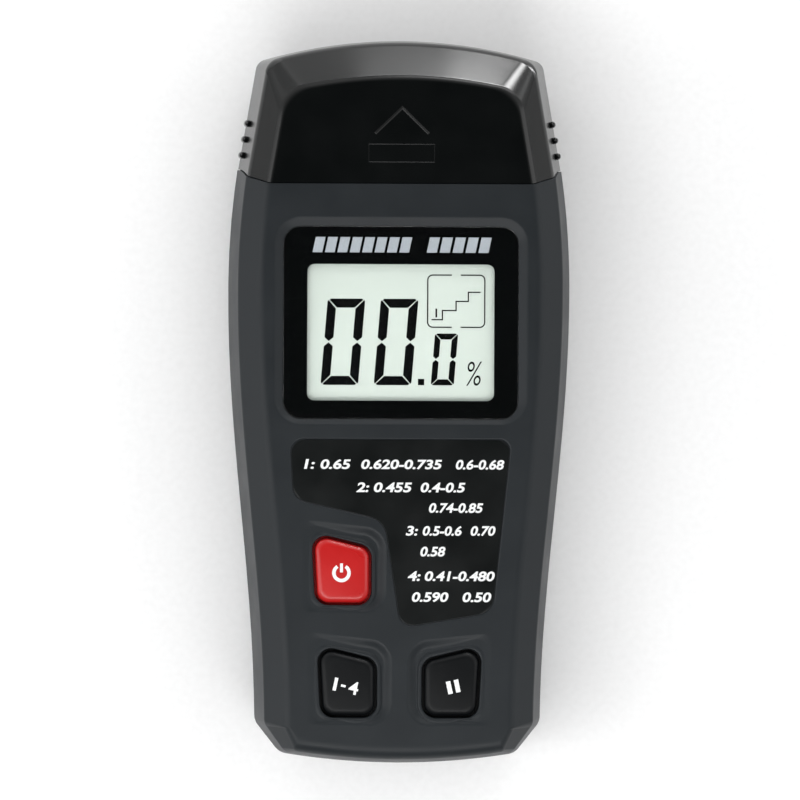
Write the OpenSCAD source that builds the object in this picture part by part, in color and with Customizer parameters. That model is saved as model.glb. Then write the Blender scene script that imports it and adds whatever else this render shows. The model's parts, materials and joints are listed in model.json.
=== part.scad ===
// Handheld two-pin wood moisture meter, lying on its back.
// X runs across the case, Y towards the electrode pins, Z out of the display.
// The origin is the middle of the back face. Every size is in millimetres.

/* [Case] */
// Length from the rounded foot to the top of the pin cap
total_len = 130; // [126:1:160]
// Width at the widest point, level with the display
max_w = 61.5; // [60:0.5:76]
// Thickness from the back face to the front face
case_t = 28; // [28:0.5:34]
// Wall of the two case shells
wall = 2; // [1.6:0.1:2.4]
// Length of the pin cap at the front face
cap_len = 25.9; // [24:0.1:31.5]
// Wall of the pin cap
cap_wall = 1.8; // [1.4:0.1:2.2]

/* [Display] */
// Width of the display lens
lens_w = 42.2; // [38:0.1:46]
// Height of the display lens
lens_h = 34.5; // [32:0.1:38]
// Thickness of the display lens
lens_t = 0.85; // [0.6:0.05:1]
// Width of the clear window in the lens
window_w = 33.6; // [28:0.1:34]
// Height of the clear window in the lens
window_h = 24.5; // [20:0.1:25]

/* [Keys] */
// Width of a key cap
key_w = 10; // [8.3:0.1:11]
// Height of a key cap on its taller side
key_h = 12.2; // [10.1:0.1:14]
// Gap between a key cap and its opening
key_gap = 0.4; // [0.2:0.05:0.5]
// Travel of a key
key_travel = 1; // [0.6:0.1:1]

/* [Electrodes] */
// Distance between the two electrode pins
pin_pitch = 26; // [20:0.5:28]
// Diameter of an electrode pin
pin_d = 2; // [1.6:0.1:2.4]
// Height of an electrode pin above its nut
pin_reach = 10.2; // [8:0.1:11]

/* [Battery] */
// Width of the block battery
battery_w = 26.5; // [22:0.1:26.5]
// Thickness of the block battery
battery_t = 17.5; // [14.5:0.1:17.5]
// Length of the block battery without its terminals
battery_l = 46.4; // [38:0.1:48]

/* [Board] */
// Thickness of the circuit board
board_t = 1.2; // [0.8:0.1:1.2]

/* [Fasteners] */
// Diameter of a case screw
case_screw_d = 2.5; // [2:0.1:2.9]
// Diameter of a board screw
board_screw_d = 2; // [1.6:0.1:2.2]

/* [Hidden] */
$fn = 48;

// Case outline
half_w = max_w / 2;
top_y = total_len / 2;
foot_y = -top_y;
seam_y = top_y - cap_len;
seam_rise = 2.5;
part_z = case_t / 2;
seam_r = (part_z * part_z + seam_rise * seam_rise) / (2 * seam_rise);
seam_centre_y = seam_y + seam_rise - seam_r;
wide_y = seam_y - 19.1;
shoulder_r = 150;
base_half_w = half_w - 5.04;
taper_len = wide_y - foot_y - 5;
foot_r = 125.7;
foot_corner_x = base_half_w - 4.5;
heel_y = foot_y + 7.5;
top_r = 85.5;
cap_lean = 0.172;
split_groove = 0.25;
seam_gap = 0.15;
beyond = 5;

// Pin cap: grip ribs and engraved arrow over a bar
rib_pitch = 2.85;
rib_start_y = seam_y + 5.2;
rib_r = 0.65;
rib_reach = 3;
mark_y = seam_y + 3.9;
bar_half_w = 5.9;
bar_h = 3.2;
arrow_half_w = 4.8;
arrow_low = 5.4;
arrow_high = 10.1;
engraved_w = 0.4;
engraved_depth = 0.3;

// Heights of the stacked parts, from the front face down
plate_z = case_t - wall;
lens_drop = 0.6;
lens_top_z = case_t - lens_drop;
mask_t = 0.15;
lens_seat_z = lens_top_z - lens_t - mask_t;
ledge_t = 0.8;
ledge_z = lens_seat_z - ledge_t;
lcd_t = 1.7;
loose = 0.1;
lcd_z = ledge_z - loose - lcd_t;
board_top_z = case_t - 5.8;
board_z = board_top_z - board_t;

// Display
lens_y = seam_y - 7.66 - lens_h / 2;
lens_r = 3.3;
window_y = lens_y - 1.75;
window_r = 1.3;
lens_gap = loose;
lens_edge = 0.1;
ledge_rim = 1.2;
window_rim = 0.8;
bevel = 1.8;
foot_bevel = 1.1;
lcd_w = window_w + 3.9;
lcd_h = window_h + 4.5;
carrier_rim = 1.9;
strip_w = 2;
strip_inset = 1.6;

// Wood group label
label_arm = 10.6;
label_radii = [3, 4.2, 2.6, 3.4, 2, 2.4];
label_drop = 0.25;
label_t = 0.15;

// Keys: [x, y, mirror], with the skewed outline drawn for a key on the left
power_at = [-10.5, foot_y + 35, 1];
mode_at = [-9.45, foot_y + 14.8, 1];
hold_at = [9.45, foot_y + 14.8, -1];
keys_at = [power_at, mode_at, hold_at];
key_slant = 2.5;
key_lean = 0.7;
key_r = 2.1;
key_crown = 0.55;
flange_t = 1;
flange_rim = 0.9;
flange_z = plate_z - loose - flange_t;
pocket_tilt = 3.4;
pocket_start = 2.2;
pocket_side = [2.6, 2.3];
pocket_foot = 1.4;
pocket_top = [2.6, 0.5];
pocket_radii = [1.5, 3.2, 3.6, 1.5];
lip_w = 0.8;
lip_h = 0.4;
lip_root = 0.6;
lip_drop = 0.05;

// Keypad mat and its domes
mat_t = 0.6;
dome_r = 5;
dome_neck_r = 3.2;
dome_plate_t = 0.7;
pill_t = 0.3;
pill_r = 1.9;
pill_z = board_top_z + key_travel + 0.02;
dome_top_z = pill_z + pill_t + dome_plate_t;
post_r = 2.4;

// Electrodes
neck_half_w = pin_pitch / 2 + 8.5;
neck_half_t = 5.5;
neck_len = 5.4;
neck_top_y = seam_y + seam_rise + neck_len;
block_flange_t = 1.7;
neck_r = 2;
neck_gap = 0.2;
guide_gap = 0.3;
guide_half_t = 3;
block_rib_w = 1.6;
cavity_end_y = seam_y - 2.8;
socket_r = 2.4;
socket_foot = 0.8;
stud_r = pin_d / 2 + 0.45;
nut_h = 2.4;
nut_r = 2.9;
pin_base_y = neck_top_y + nut_h;
tip_len = 2.8;
tip_r = 0.12;

// Battery bay and door
bay_gap = 0.35;
bay_half_w = battery_w / 2 + bay_gap;
bay_wall = 1.2;
door_t = 1.6;
battery_z = door_t + 0.4;
battery_r = 1.6;
foam_t = 0.6;
battery_mid_z = battery_z + battery_t / 2;
bay_top_z = battery_z + battery_t + foam_t;
bay_lid_t = 0.8;
bay_foot_y = foot_y + 5.2;
battery_foot_y = bay_foot_y + 0.2;
battery_top_y = battery_foot_y + battery_l;
terminal_h = 2.9;
terminal_x = 6.35;
stud_terminal_r = 2.85;
cup_terminal_r = 4.4;
snap_l = 5.3;
snap_t = 12.4;
snap_gap = 0.3;
notch_half_w = 7;
notch_low = 5;
notch_high = 11;
bay_top_y = battery_top_y + snap_l + 6.2;
door_top_y = bay_top_y + 1.4;
door_half_w = bay_half_w + 0.3;
tongue = 0.7;
tongue_t = 0.8;
door_gap = 0.15;
door_mark_half_w = 7;

// Fasteners: [x, y]
screw_head_r = case_screw_d / 2 + 0.85;
screw_head_t = 1.3;
screw_seat_z = 3;
boss_r = case_screw_d / 2 + 1;
boss_clear = 0.3;
screw_clear = 0.2;
board_screw_clear = 0.15;
key_reach = hold_at[0] + key_w / 2 + flange_rim;
lower_screw = [max(bay_half_w + 4, key_reach + boss_clear + boss_r), foot_y + 11];
upper_screw = [half_w - 8.2, seam_y - 7.8];
case_screws_at = [for (s = [-1, 1], p = [lower_screw, upper_screw]) [s * p[0], p[1]]];
board_head_r = board_screw_d / 2 + 0.8;
board_head_t = 1.1;
board_half_w = half_w - 5.7;
board_waist = base_half_w - 4.2;
board_foot = lower_screw[0] - boss_r - boss_clear;
board_screws_at = [for (s = [-1, 1], p = [[board_half_w - 2.3, lens_y + 9.8],
    [board_waist - 2.2, foot_y + 25]]) [s * p[0], p[1]]];
thread_gap = 0.03;

// Levels of the case surface: [side inset, side height, end inset, end height]
front_levels = [[0.25, part_z, 0.25, part_z], [0, part_z + split_groove, 0, part_z + split_groove],
    [1.3, case_t - 4.9, 0.35, case_t - 5.6], [1.5, case_t - 4.1, 0.5, case_t - 4.2],
    [1.8, case_t - 3.5, 0.7, case_t - 3.1], [2.2, case_t - 3.0, 0.95, case_t - 2.2],
    [4.7, case_t - 0.75, 1.35, case_t - 1.3], [5.2, case_t - 0.4, 1.8, case_t - 0.7],
    [5.8, case_t - 0.12, 2.4, case_t - 0.25], [6.5, case_t, 3.2, case_t]];
rear_levels = [[5.4, 0, 3.4, 0], [4.4, 0.15, 2.6, 0.15], [3.3, 0.65, 1.8, 0.6],
    [2.5, 1.6, 1.2, 1.4], [1.9, 2.9, 0.8, 2.7], [1.55, 4.6, 0.5, 4.4],
    [0, part_z - split_groove, 0, part_z - split_groove], [0.25, part_z, 0.25, part_z]];
cap_levels = [[5.4, 0, 7.2, 0], [4.4, 0.15, 6.2, 0.3], [3.3, 0.65, 4.9, 1.2],
    [2.5, 1.6, 3.7, 2.7], [1.9, 2.9, 2.6, 4.6], [1.55, 4.6, 1.8, 6.8],
    [0.15, part_z - 1.2, 0.15, part_z - 1.2], [0, part_z, 0, part_z],
    [0.15, part_z + 1.2, 0.15, part_z + 1.2], [1.6, case_t - 4.9, 0.3, case_t - 7.4],
    [1.85, case_t - 4.1, 0.65, case_t - 6.6], [2.2, case_t - 3.5, 1.2, case_t - 5.8],
    [5.1, case_t - 0.75, 5.8, case_t - 1.35], [5.5, case_t - 0.35, 6.4, case_t - 0.8],
    [5.95, case_t - 0.1, 6.9, case_t - 0.25], [6.5, case_t, 7.5, case_t]];
cap_bore_levels = [[5.6 + cap_wall / 2, cap_wall, 7.6 + cap_wall / 2, cap_wall],
    [1.5 + cap_wall, 5.4, 1.9 + cap_wall, 7.4], [cap_wall, part_z, cap_wall, part_z],
    [1.9 + cap_wall, case_t - 4.6, 1.3 + cap_wall, case_t - 6.6],
    [5.2 + cap_wall / 2, case_t - cap_wall, 6.4 + cap_wall, case_t - cap_wall]];
front_cavity_levels = [[wall, part_z - 1, wall, part_z - 1],
    [1.4 + wall, case_t - 5, 0.5 + wall, case_t - 5],
    [4.6 + wall, plate_z, 1.6 + wall, plate_z]];
rear_cavity_levels = [[4 + wall, wall, 2.2 + wall, wall],
    [1.6 + wall, 4.6 + wall / 2, 0.6 + wall, 4.6 + wall / 2], [wall, part_z + 1, wall, part_z + 1]];

// ---- Geometry helpers ----

function unit(v) = v / norm(v);
function mix(a, b, t) = a + (b - a) * t;

// Arc of radius r that rounds a corner between its two neighbours
function fillet(before, corner, after, r, steps) =
    let (u = unit(before - corner), v = unit(after - corner), half = acos(u * v) / 2,
        centre = corner + unit(u + v) * r / sin(half),
        first = corner + u * r / tan(half) - centre, start = atan2(first[1], first[0]),
        sweep = sign(cross(corner - before, after - corner)) * (180 - 2 * half))
    [for (k = [0:steps]) centre + r * [cos(start + sweep * k / steps), sin(start + sweep * k / steps)]];

// Closed outline with every corner rounded
function rounded(pts, radii, steps = 5) =
    let (n = len(pts))
    [for (i = [0:n - 1]) each fillet(pts[(i + n - 1) % n], pts[i], pts[(i + 1) % n], radii[i], steps)];

// Counter-clockwise outline moved outwards by d, corner by corner
function grown(pts, d) =
    let (n = len(pts))
    [for (i = [0:n - 1])
        let (a = unit(pts[i] - pts[(i + n - 1) % n]), b = unit(pts[(i + 1) % n] - pts[i]),
            na = [a[1], -a[0]], nb = [b[1], -b[0]])
        pts[i] + d * (na + nb) / (1 + na * nb)];

function same(value, n) = [for (i = [1:n]) value];
function raised(pts, z) = [for (p = pts) [p[0], p[1], z]];
function box_outline(w, h, y = 0) =
    [[-w / 2, y - h / 2], [w / 2, y - h / 2], [w / 2, y + h / 2], [-w / 2, y + h / 2]];

// Solid through a stack of outlines. A ladder lid suits a long outline that mirrors about X = 0.
module loft(rings, ladder = false) {
    m = len(rings[0]);
    last = (len(rings) - 1) * m;
    sides = [for (j = [0:len(rings) - 2], i = [0:m - 1])
        let (a = j * m + i, b = j * m + (i + 1) % m) each [[a, a + m, b + m], [a, b + m, b]]];
    rungs = [for (i = [1:(m - 3) / 2]) each [[i, i + 1, m - i - 1], [i, m - i - 1, m - i]]];
    fan = [for (i = [1:m - 2]) [0, i, i + 1]];
    lid = ladder ? concat([[0, 1, m - 1]], rungs) : fan;
    polyhedron([for (r = rings) each r],
        concat(sides, lid, [for (t = lid) [last + t[2], last + t[1], last + t[0]]]));
}

// Rounded plate between two heights
module plate(pts, radii, z0, z1) {
    translate([0, 0, z0])
        linear_extrude(z1 - z0)
            polygon(rounded(pts, radii));
}

// Box from its two corners
module block(low, high) {
    translate(low)
        cube(high - low);
}

// Upright rod
module rod(at, r, z0, z1) {
    translate([at[0], at[1], z0])
        cylinder(r = r, h = z1 - z0);
}

// Rod along Y at the height of the parting line
module rod_y(x, r, y0, y1, tip_r = -1) {
    translate([x, y0, part_z])
        rotate([-90, 0, 0])
            cylinder(r1 = r, r2 = tip_r < 0 ? r : tip_r, h = y1 - y0);
}

// Smooth curve through a route's points, with steps in every span
function route(pts, steps) =
    let (n = len(pts))
    [for (i = [0:n - 2], k = [0:steps - (i == n - 2 ? 0 : 1)])
        let (t = k / steps, a = pts[max(i - 1, 0)], b = pts[i], c = pts[i + 1], d = pts[min(i + 2, n - 1)])
        b + t / 2 * (c - a + t * (2 * a - 5 * b + 4 * c - d + t * (3 * b - a - 3 * c + d)))];

// Round wire that follows a smooth curve, which never runs along X
module wire(pts, d, sides = 8) {
    path = route(pts, 4);
    n = len(path);
    rings = [for (i = [0:n - 1])
        let (t = unit(path[min(i + 1, n - 1)] - path[max(i - 1, 0)]), v = unit(cross(t, [1, 0, 0])),
            u = cross(v, t))
        [for (k = [0:sides - 1]) path[i] + d / 2 * (cos(360 * k / sides) * u + sin(360 * k / sides) * v)]];
    loft(rings);
}

// ---- Case form ----

// Half width of the body: an arc above the widest point and a half cosine wave below it
function side_x(y) =
    y > wide_y ? half_w - pow(y - wide_y, 2) / (2 * shoulder_r)
    : mix(base_half_w, half_w, (1 + cos(180 * min(1, (wide_y - y) / taper_len))) / 2);
function cap_side_x(y) = side_x(min(y, seam_y)) - cap_lean * max(0, y - seam_y);
function foot_arc(x, inset) = foot_y + inset + x * x / (2 * foot_r);
function top_arc(x, inset) = top_y - inset - x * x / (2 * top_r);

// Right half of the body outline at one level, from the middle of the foot up to end_y
function body_half(level, end_y) =
    let (a = level[0], e = level[2], r = max(0.7, 3 - 0.4 * a),
        c1x = foot_corner_x - a / 2, c1 = [c1x, foot_arc(c1x, e)],
        c2y = heel_y - 0.2 * a, c2 = [side_x(c2y) - a, c2y], steps = 4,
        heel = fillet([c1x - 2, foot_arc(c1x - 2, e)], c1, c2, r, steps),
        hip = fillet(c1, c2, [side_x(c2y + 2) - a, c2y + 2], r, steps), rows = 18)
    concat([for (k = [0:4]) [c1x * k / 5, foot_arc(c1x * k / 5, e), level[3]]],
        [for (p = heel) [p[0], p[1], mix(level[3], level[1], 0.25)]],
        [for (p = hip) [p[0], p[1], mix(level[3], level[1], 0.8)]],
        [for (k = [1:rows]) let (y = mix(c2y + 1.5, end_y, (k - 0.5) / (rows - 0.5)))
            [side_x(y) - a, y, level[1]]]);

// Left half of the cap outline at one level, from the middle of the top down to start_y
function cap_half(level, start_y) =
    let (a = level[0], e = level[2], r = mix(2, 6.5, min(1, a / 6)), guess = cap_side_x(top_y - 4) - a,
        cx = cap_side_x(top_arc(guess, e)) - a, corner = [-cx, top_arc(cx, e)], steps = 7,
        low = [-(cap_side_x(corner[1] - 8) - a), corner[1] - 8],
        arc = fillet([-cx + 4, top_arc(cx - 4, e)], corner, low, r, steps),
        arc_x = -arc[0][0], arc_y = arc[steps][1], rows = 8)
    concat([for (k = [0:6]) [-arc_x * k / 7, top_arc(arc_x * k / 7, e), level[3]]],
        [for (k = [0:steps]) [arc[k][0], arc[k][1], mix(level[3], level[1], k / steps)]],
        [for (k = [1:rows]) let (y = mix(arc_y, start_y, k / rows)) [a - cap_side_x(y), y, level[1]]]);

// Whole outline from a half that starts on the mirror line
function both_halves(h) = concat(h, [for (i = [len(h) - 1:-1:1]) [-h[i][0], h[i][1], h[i][2]]]);

module body_form(levels, end_y) {
    loft([for (l = levels) both_halves(body_half(l, end_y))], ladder = true);
}

module cap_form(levels, start_y) {
    loft([for (l = levels) both_halves(cap_half(l, start_y))], ladder = true);
}

// Everything on the cap's side of the arched seam
module above_seam(gap = 0) {
    difference() {
        block([-half_w - beyond, seam_y - 6, -beyond], [half_w + beyond, top_y + beyond, case_t + beyond]);
        translate([-half_w - beyond - 1, seam_centre_y, part_z])
            rotate([0, 90, 0])
                cylinder(r = seam_r + gap, h = 2 * (half_w + beyond + 1), $fn = 180);
    }
}

// Opening in the shoulder of the case for the electrode block
module neck_opening(gap) {
    block([-neck_half_w - gap, cavity_end_y - 1, part_z - neck_half_t - gap],
        [neck_half_w + gap, seam_y + 8, part_z + neck_half_t + gap]);
}

// Small ribs that hold the electrode block against the shoulder
module block_ribs(z0, z1) {
    for (x = [-10, 0, 10])
        block([x - block_rib_w / 2, cavity_end_y - block_flange_t - 2, z0],
            [x + block_rib_w / 2, cavity_end_y - block_flange_t - 0.15, z1]);
}

// ---- Keys ----

function key_outline(d = 0) =
    grown([[-key_w / 2 + key_lean, -key_h / 2], [key_w / 2, -key_h / 2], [key_w / 2, key_h / 2 - key_slant],
        [-key_w / 2, key_h / 2]], d);
function key_ring(d, z) = raised(rounded(key_outline(d), same(max(0.8, key_r + d), 4)), z);

// Puts a left-hand key shape at its place, mirrored for a key on the right
module at_key(key) {
    translate([key[0], key[1], 0])
        mirror([key[2] < 0 ? 1 : 0, 0, 0])
            children();
}

module key_cap() {
    top_z = case_t + key_crown;
    loft([key_ring(0, flange_z), key_ring(0, case_t - 0.5), key_ring(-0.12, case_t - 0.05),
        key_ring(-0.45, top_z - 0.2), key_ring(-0.95, top_z)]);
    loft([key_ring(flange_rim, flange_z), key_ring(flange_rim, flange_z + flange_t)]);
    rod([0, 0], post_r, dome_top_z, flange_z + 0.01);
}

// Shallow pocket beside each key, whose floor drops towards the middle of the case
module key_pocket() {
    x = key_w / 2;
    y = key_h / 2;
    pts = [[-x - pocket_side[0], -y - pocket_foot], [x + pocket_side[1], -y - pocket_foot],
        [x + pocket_side[1], y + pocket_top[1]], [-x - pocket_side[0], y + pocket_top[0]]];
    translate([-x - pocket_start, 0, case_t])
        rotate([0, pocket_tilt, 0])
            translate([x + pocket_start, 0, 0])
                loft([for (l = [[0, 0], [0.25, 0.3], [1, 0.9], [2, 3]])
                    raised(rounded(grown(pts, l[0]), pocket_radii), l[1])]);
}

// Raised lip round the key's opening, on the tilted floor of the pocket
module key_lip() {
    translate([-key_w / 2 - pocket_start, 0, case_t])
        rotate([0, pocket_tilt, 0])
            translate([key_w / 2 + pocket_start, 0, -lip_root])
                intersection() {
                    loft([key_ring(key_gap + lip_w, 0), key_ring(key_gap + lip_w, lip_root + lip_h / 2),
                        key_ring(key_gap + lip_w * 0.6, lip_root + lip_h)]);
                    rotate([0, -pocket_tilt, 0])
                        block([-2 * key_w, -2 * key_h, -beyond], [2 * key_w, 2 * key_h, lip_root - lip_drop]);
                }
}

// ---- Case shells ----

module front_shell() color([0.2, 0.21, 0.23]) {
    difference() {
        union() {
            difference() {
                body_form(front_levels, seam_y + beyond);
                body_form(front_cavity_levels, cavity_end_y);
                for (key = keys_at)
                    at_key(key)
                        key_pocket();
            }
            plate(box_outline(lens_w + 2 * ledge_rim, lens_h + 2 * ledge_rim, lens_y), same(lens_r, 4),
                ledge_z, plate_z + 0.5);
            for (p = case_screws_at)
                rod(p, boss_r, part_z, plate_z + 0.3);
            for (p = board_screws_at)
                rod(p, board_screw_d / 2 + 1, board_top_z, plate_z + 0.3);
            block_ribs(part_z + neck_half_t + 1.5, plate_z + 0.3);
            for (key = keys_at)
                at_key(key)
                    key_lip();
        }
        above_seam();
        neck_opening(neck_gap);
        lens_recess();
        label_recess();
        for (key = keys_at)
            at_key(key)
                translate([0, 0, flange_z])
                    linear_extrude(case_t)
                        polygon(rounded(key_outline(key_gap), same(key_r + key_gap, 4)));
        for (p = case_screws_at)
            rod(p, case_screw_d / 2 + thread_gap, part_z - 1, part_z + 8);
        for (p = board_screws_at)
            rod(p, board_screw_d / 2 + thread_gap, board_top_z - 1, plate_z - 0.2);
    }
}

// Bevelled recess for the lens, its seat, and the window through the ledge
module lens_recess() {
    inner = box_outline(lens_w + 2 * lens_gap, lens_h + 2 * lens_gap, lens_y);
    outer = box_outline(lens_w + 2 * bevel, lens_h + bevel + foot_bevel, lens_y + (bevel - foot_bevel) / 2);
    radii = same(lens_r, 4);
    wide = same(lens_r + bevel, 4);
    plate(inner, radii, lens_seat_z, case_t + 1);
    loft([raised(rounded(inner, radii), lens_top_z), raised(rounded(outer, wide), case_t - 0.08),
        raised(rounded(grown(outer, 0.35), wide), case_t + 0.02),
        raised(rounded(grown(outer, 0.4), wide), case_t + 1)]);
    plate(box_outline(window_w + 2 * window_rim, window_h + 2 * window_rim, window_y), same(window_r, 4),
        ledge_z - 1, case_t);
}

// Outline of the wood group label: an L with slanted feet
function label_outline(d = 0) =
    let (top = lens_y - lens_h / 2 - 3.8, left = -19.7, right = 19.8, inner = -0.1,
        foot = mode_at[1] + key_h / 2 + 3.8)
    grown([[left + 0.6, top - label_arm], [inner - 2.6, power_at[1] + key_h / 2 + 2.7],
        [inner + 0.3, foot - 0.2], [right - 3.2, foot + 2.6], [right, top], [left, top]], d);

module label_recess() {
    plate(label_outline(loose), label_radii, case_t - label_drop, case_t + 1);
}

module wood_group_label() color([0.08, 0.1, 0.1])
    plate(label_outline(), label_radii, case_t - label_drop, case_t - label_drop + label_t);

module rear_shell() color([0.2, 0.21, 0.23]) {
    difference() {
        union() {
            difference() {
                body_form(rear_levels, seam_y + beyond);
                body_form(rear_cavity_levels, cavity_end_y);
            }
            block([-bay_half_w - bay_wall, bay_foot_y - 1.5, wall - 0.5],
                [bay_half_w + bay_wall, bay_top_y + bay_wall, bay_top_z + bay_lid_t]);
            for (p = case_screws_at)
                rod(p, case_screw_d / 2 + 1.5, wall - 0.5, part_z);
            block_ribs(wall - 0.3, part_z - neck_half_t - 1.5);
        }
        above_seam();
        neck_opening(neck_gap);
        block([-bay_half_w, bay_foot_y, -1], [bay_half_w, bay_top_y, bay_top_z]);
        block([-notch_half_w, bay_top_y - 1, battery_z + notch_low],
            [notch_half_w, bay_top_y + bay_wall + 1, battery_z + notch_high]);
        door_way();
        for (p = case_screws_at) {
            rod(p, case_screw_d / 2 + screw_clear, -1, part_z + 1);
            rod(p, screw_head_r + screw_clear, -1, screw_seat_z);
        }
    }
}

// Space that the door and its side tongues slide in, open at the foot of the case
module door_way() {
    block([-door_half_w - door_gap, foot_y - beyond, -1],
        [door_half_w + door_gap, door_top_y + door_gap, door_t + door_gap]);
    block([-door_half_w - tongue - door_gap, foot_y - beyond, door_t - tongue_t - door_gap],
        [door_half_w + tongue + door_gap, door_top_y + door_gap, door_t + door_gap]);
}

module battery_door() color([0.2, 0.21, 0.23]) {
    arrow_y = foot_y + 20;
    difference() {
        intersection() {
            body_form(rear_levels, seam_y + beyond);
            union() {
                block([-door_half_w, foot_y - beyond, -1], [door_half_w, door_top_y, door_t]);
                block([-door_half_w - tongue, foot_y - beyond, door_t - tongue_t],
                    [door_half_w + tongue, door_top_y - 2, door_t]);
            }
        }
        for (k = [0:5])
            block([-door_mark_half_w, arrow_y + 4 + 2 * k, -1], [door_mark_half_w, arrow_y + 5 + 2 * k, 0.5]);
        translate([0, 0, -1])
            linear_extrude(1.4)
                polygon([[-4, arrow_y], [0, arrow_y - 5], [4, arrow_y]]);
    }
}

// ---- Pin cap ----

// Rounded grip rib across the side of the cap
module grip_rib(y) {
    at = [cap_side_x(y) - 0.15, y, part_z];
    translate(at)
        cylinder(r = rib_r, h = 2 * rib_reach, center = true);
    for (s = [-1, 1])
        translate(at + [0, 0, s * rib_reach])
            sphere(r = rib_r);
}

// Engraved line between two points of the cap's front face
module engraved(a, b) {
    d = b - a;
    w = engraved_w / 2;
    translate([a[0], a[1], case_t - engraved_depth])
        rotate([0, 0, atan2(d[1], d[0])])
            block([-w, -w, 0], [norm(d) + w, w, 1]);
}

module open_loop(pts) {
    for (i = [0:len(pts) - 1])
        engraved(pts[i], pts[(i + 1) % len(pts)]);
}

// Two ribs inside the cap that run along the sides of the electrode block
module cap_guides() {
    intersection() {
        cap_form(cap_levels, seam_y - 3);
        for (s = [0, 1])
            mirror([s, 0, 0])
                block([neck_half_w + guide_gap, seam_y + seam_rise, part_z - guide_half_t],
                    [half_w, neck_top_y + 3, part_z + guide_half_t]);
    }
}

module pin_cap() color([0.06, 0.06, 0.07]) {
    difference() {
        union() {
            difference() {
                cap_form(cap_levels, seam_y - 3);
                cap_form(cap_bore_levels, seam_y - 4);
            }
            cap_guides();
            for (k = [0:2], s = [0, 1])
                mirror([s, 0, 0])
                    grip_rib(rib_start_y + rib_pitch * k);
        }
        difference() {
            block([-half_w - beyond, seam_y - 6, -beyond], [half_w + beyond, seam_y + 6, case_t + beyond]);
            above_seam(seam_gap);
        }
        open_loop([[-arrow_half_w, mark_y + arrow_low], [arrow_half_w, mark_y + arrow_low],
            [0, mark_y + arrow_high]]);
        open_loop(box_outline(2 * bar_half_w, bar_h, mark_y + bar_h / 2));
    }
}

// ---- Display ----

module display_lens() color([0.75, 0.8, 0.8, 0.35])
    plate(box_outline(lens_w, lens_h, lens_y), same(lens_r - lens_edge, 4), lens_seat_z + mask_t, lens_top_z);

module lens_mask() color([0.03, 0.03, 0.03])
    difference() {
        plate(box_outline(lens_w, lens_h, lens_y), same(lens_r - lens_edge, 4),
            lens_seat_z, lens_seat_z + mask_t);
        plate(box_outline(window_w, window_h, window_y), same(window_r, 4), lens_seat_z - 1, lens_seat_z + 1);
    }

module lcd_panel() color([0.86, 0.9, 0.87])
    block([-lcd_w / 2, window_y - lcd_h / 2, lcd_z], [lcd_w / 2, window_y + lcd_h / 2, lcd_z + lcd_t]);

module strip_slots(gap) {
    for (s = [-1, 1])
        translate([0, window_y + s * (lcd_h / 2 - strip_inset), 0])
            block([-lcd_w / 2 + 1 - gap, -strip_w / 2 - gap, board_top_z - gap],
                [lcd_w / 2 - 1 + gap, strip_w / 2 + gap, lcd_z + gap]);
}

module lcd_carrier() color([0.9, 0.9, 0.88])
    difference() {
        plate(box_outline(lcd_w + 2 * carrier_rim, lcd_h + 2 * carrier_rim, window_y), same(1, 4),
            board_top_z, lcd_z + lcd_t);
        block([-lcd_w / 2 - loose, window_y - lcd_h / 2 - loose, lcd_z - loose / 2],
            [lcd_w / 2 + loose, window_y + lcd_h / 2 + loose, case_t]);
        strip_slots(loose);
    }

module contact_strips() color([0.85, 0.55, 0.6])
    strip_slots(0);

// ---- Board ----

// Board outline: wide under the display, narrower beside the keys, narrowest between the lower bosses
function board_outline() =
    let (y0 = foot_y + 7, y1 = foot_y + 19, y2 = lens_y - lens_h / 2 - 3, y3 = seam_y - 11.5)
    [[-board_foot, y0], [board_foot, y0], [board_foot, y1], [board_waist, y1 + 2], [board_waist, y2],
        [board_half_w, y2 + 3], [board_half_w, y3], [-board_half_w, y3], [-board_half_w, y2 + 3],
        [-board_waist, y2], [-board_waist, y1 + 2], [-board_foot, y1]];

module main_board() color([0.07, 0.32, 0.16])
    difference() {
        translate([0, 0, board_z])
            linear_extrude(board_t)
                polygon(board_outline());
        for (p = board_screws_at)
            rod(p, board_screw_d / 2 + board_screw_clear, board_z - 1, board_top_z + 1);
    }

module controller_chip() color([0.05, 0.05, 0.05])
    translate([0, window_y + 4, board_z])
        rotate_extrude()
            polygon([[0, 0], [6, 0], [5.7, -0.6], [4.6, -1.1], [2.6, -1.5], [0, -1.6]]);

// Small parts under the board: chip resistors, two ceramic capacitors, a can capacitor and a crystal
module board_components() color([0.3, 0.25, 0.2]) {
    for (k = [0:4]) {
        translate([10 + 2.6 * k, window_y - 2, board_z - 0.6])
            block([-0.6, -1.1, 0], [0.6, 1.1, 0.6]);
        translate([-20.4 + 2.6 * k, window_y + 9, board_z - 0.6])
            block([-0.6, -1.1, 0], [0.6, 1.1, 0.6]);
    }
    for (x = [11, 16])
        translate([x, window_y + 8, board_z - 1.3])
            block([-1.6, -1.25, 0], [1.6, 1.25, 1.3]);
    rod([-15, window_y - 1], 3.2, board_z - 6, board_z);
    hull()
        for (x = [-2, 2])
            rod([x + 11, window_y - 6.5], 1.7, board_z - 3.4, board_z, $fn = 32);
}

// ---- Keypad ----

// Sheet outline: both lower keys side by side, and the power key above the left one
function mat_outline() =
    let (rim = 1.6, low = foot_y + 7.4, step = foot_y + 21.5, shelf = foot_y + 27,
        high = power_at[1] + dome_r + rim + 0.9, left = power_at[0] - dome_r - rim,
        right = power_at[0] + dome_r + rim)
    [[-board_foot, low], [board_foot, low], [board_foot, shelf], [right, shelf], [right, high],
        [left, high], [left, step], [-board_foot, step]];

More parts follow.
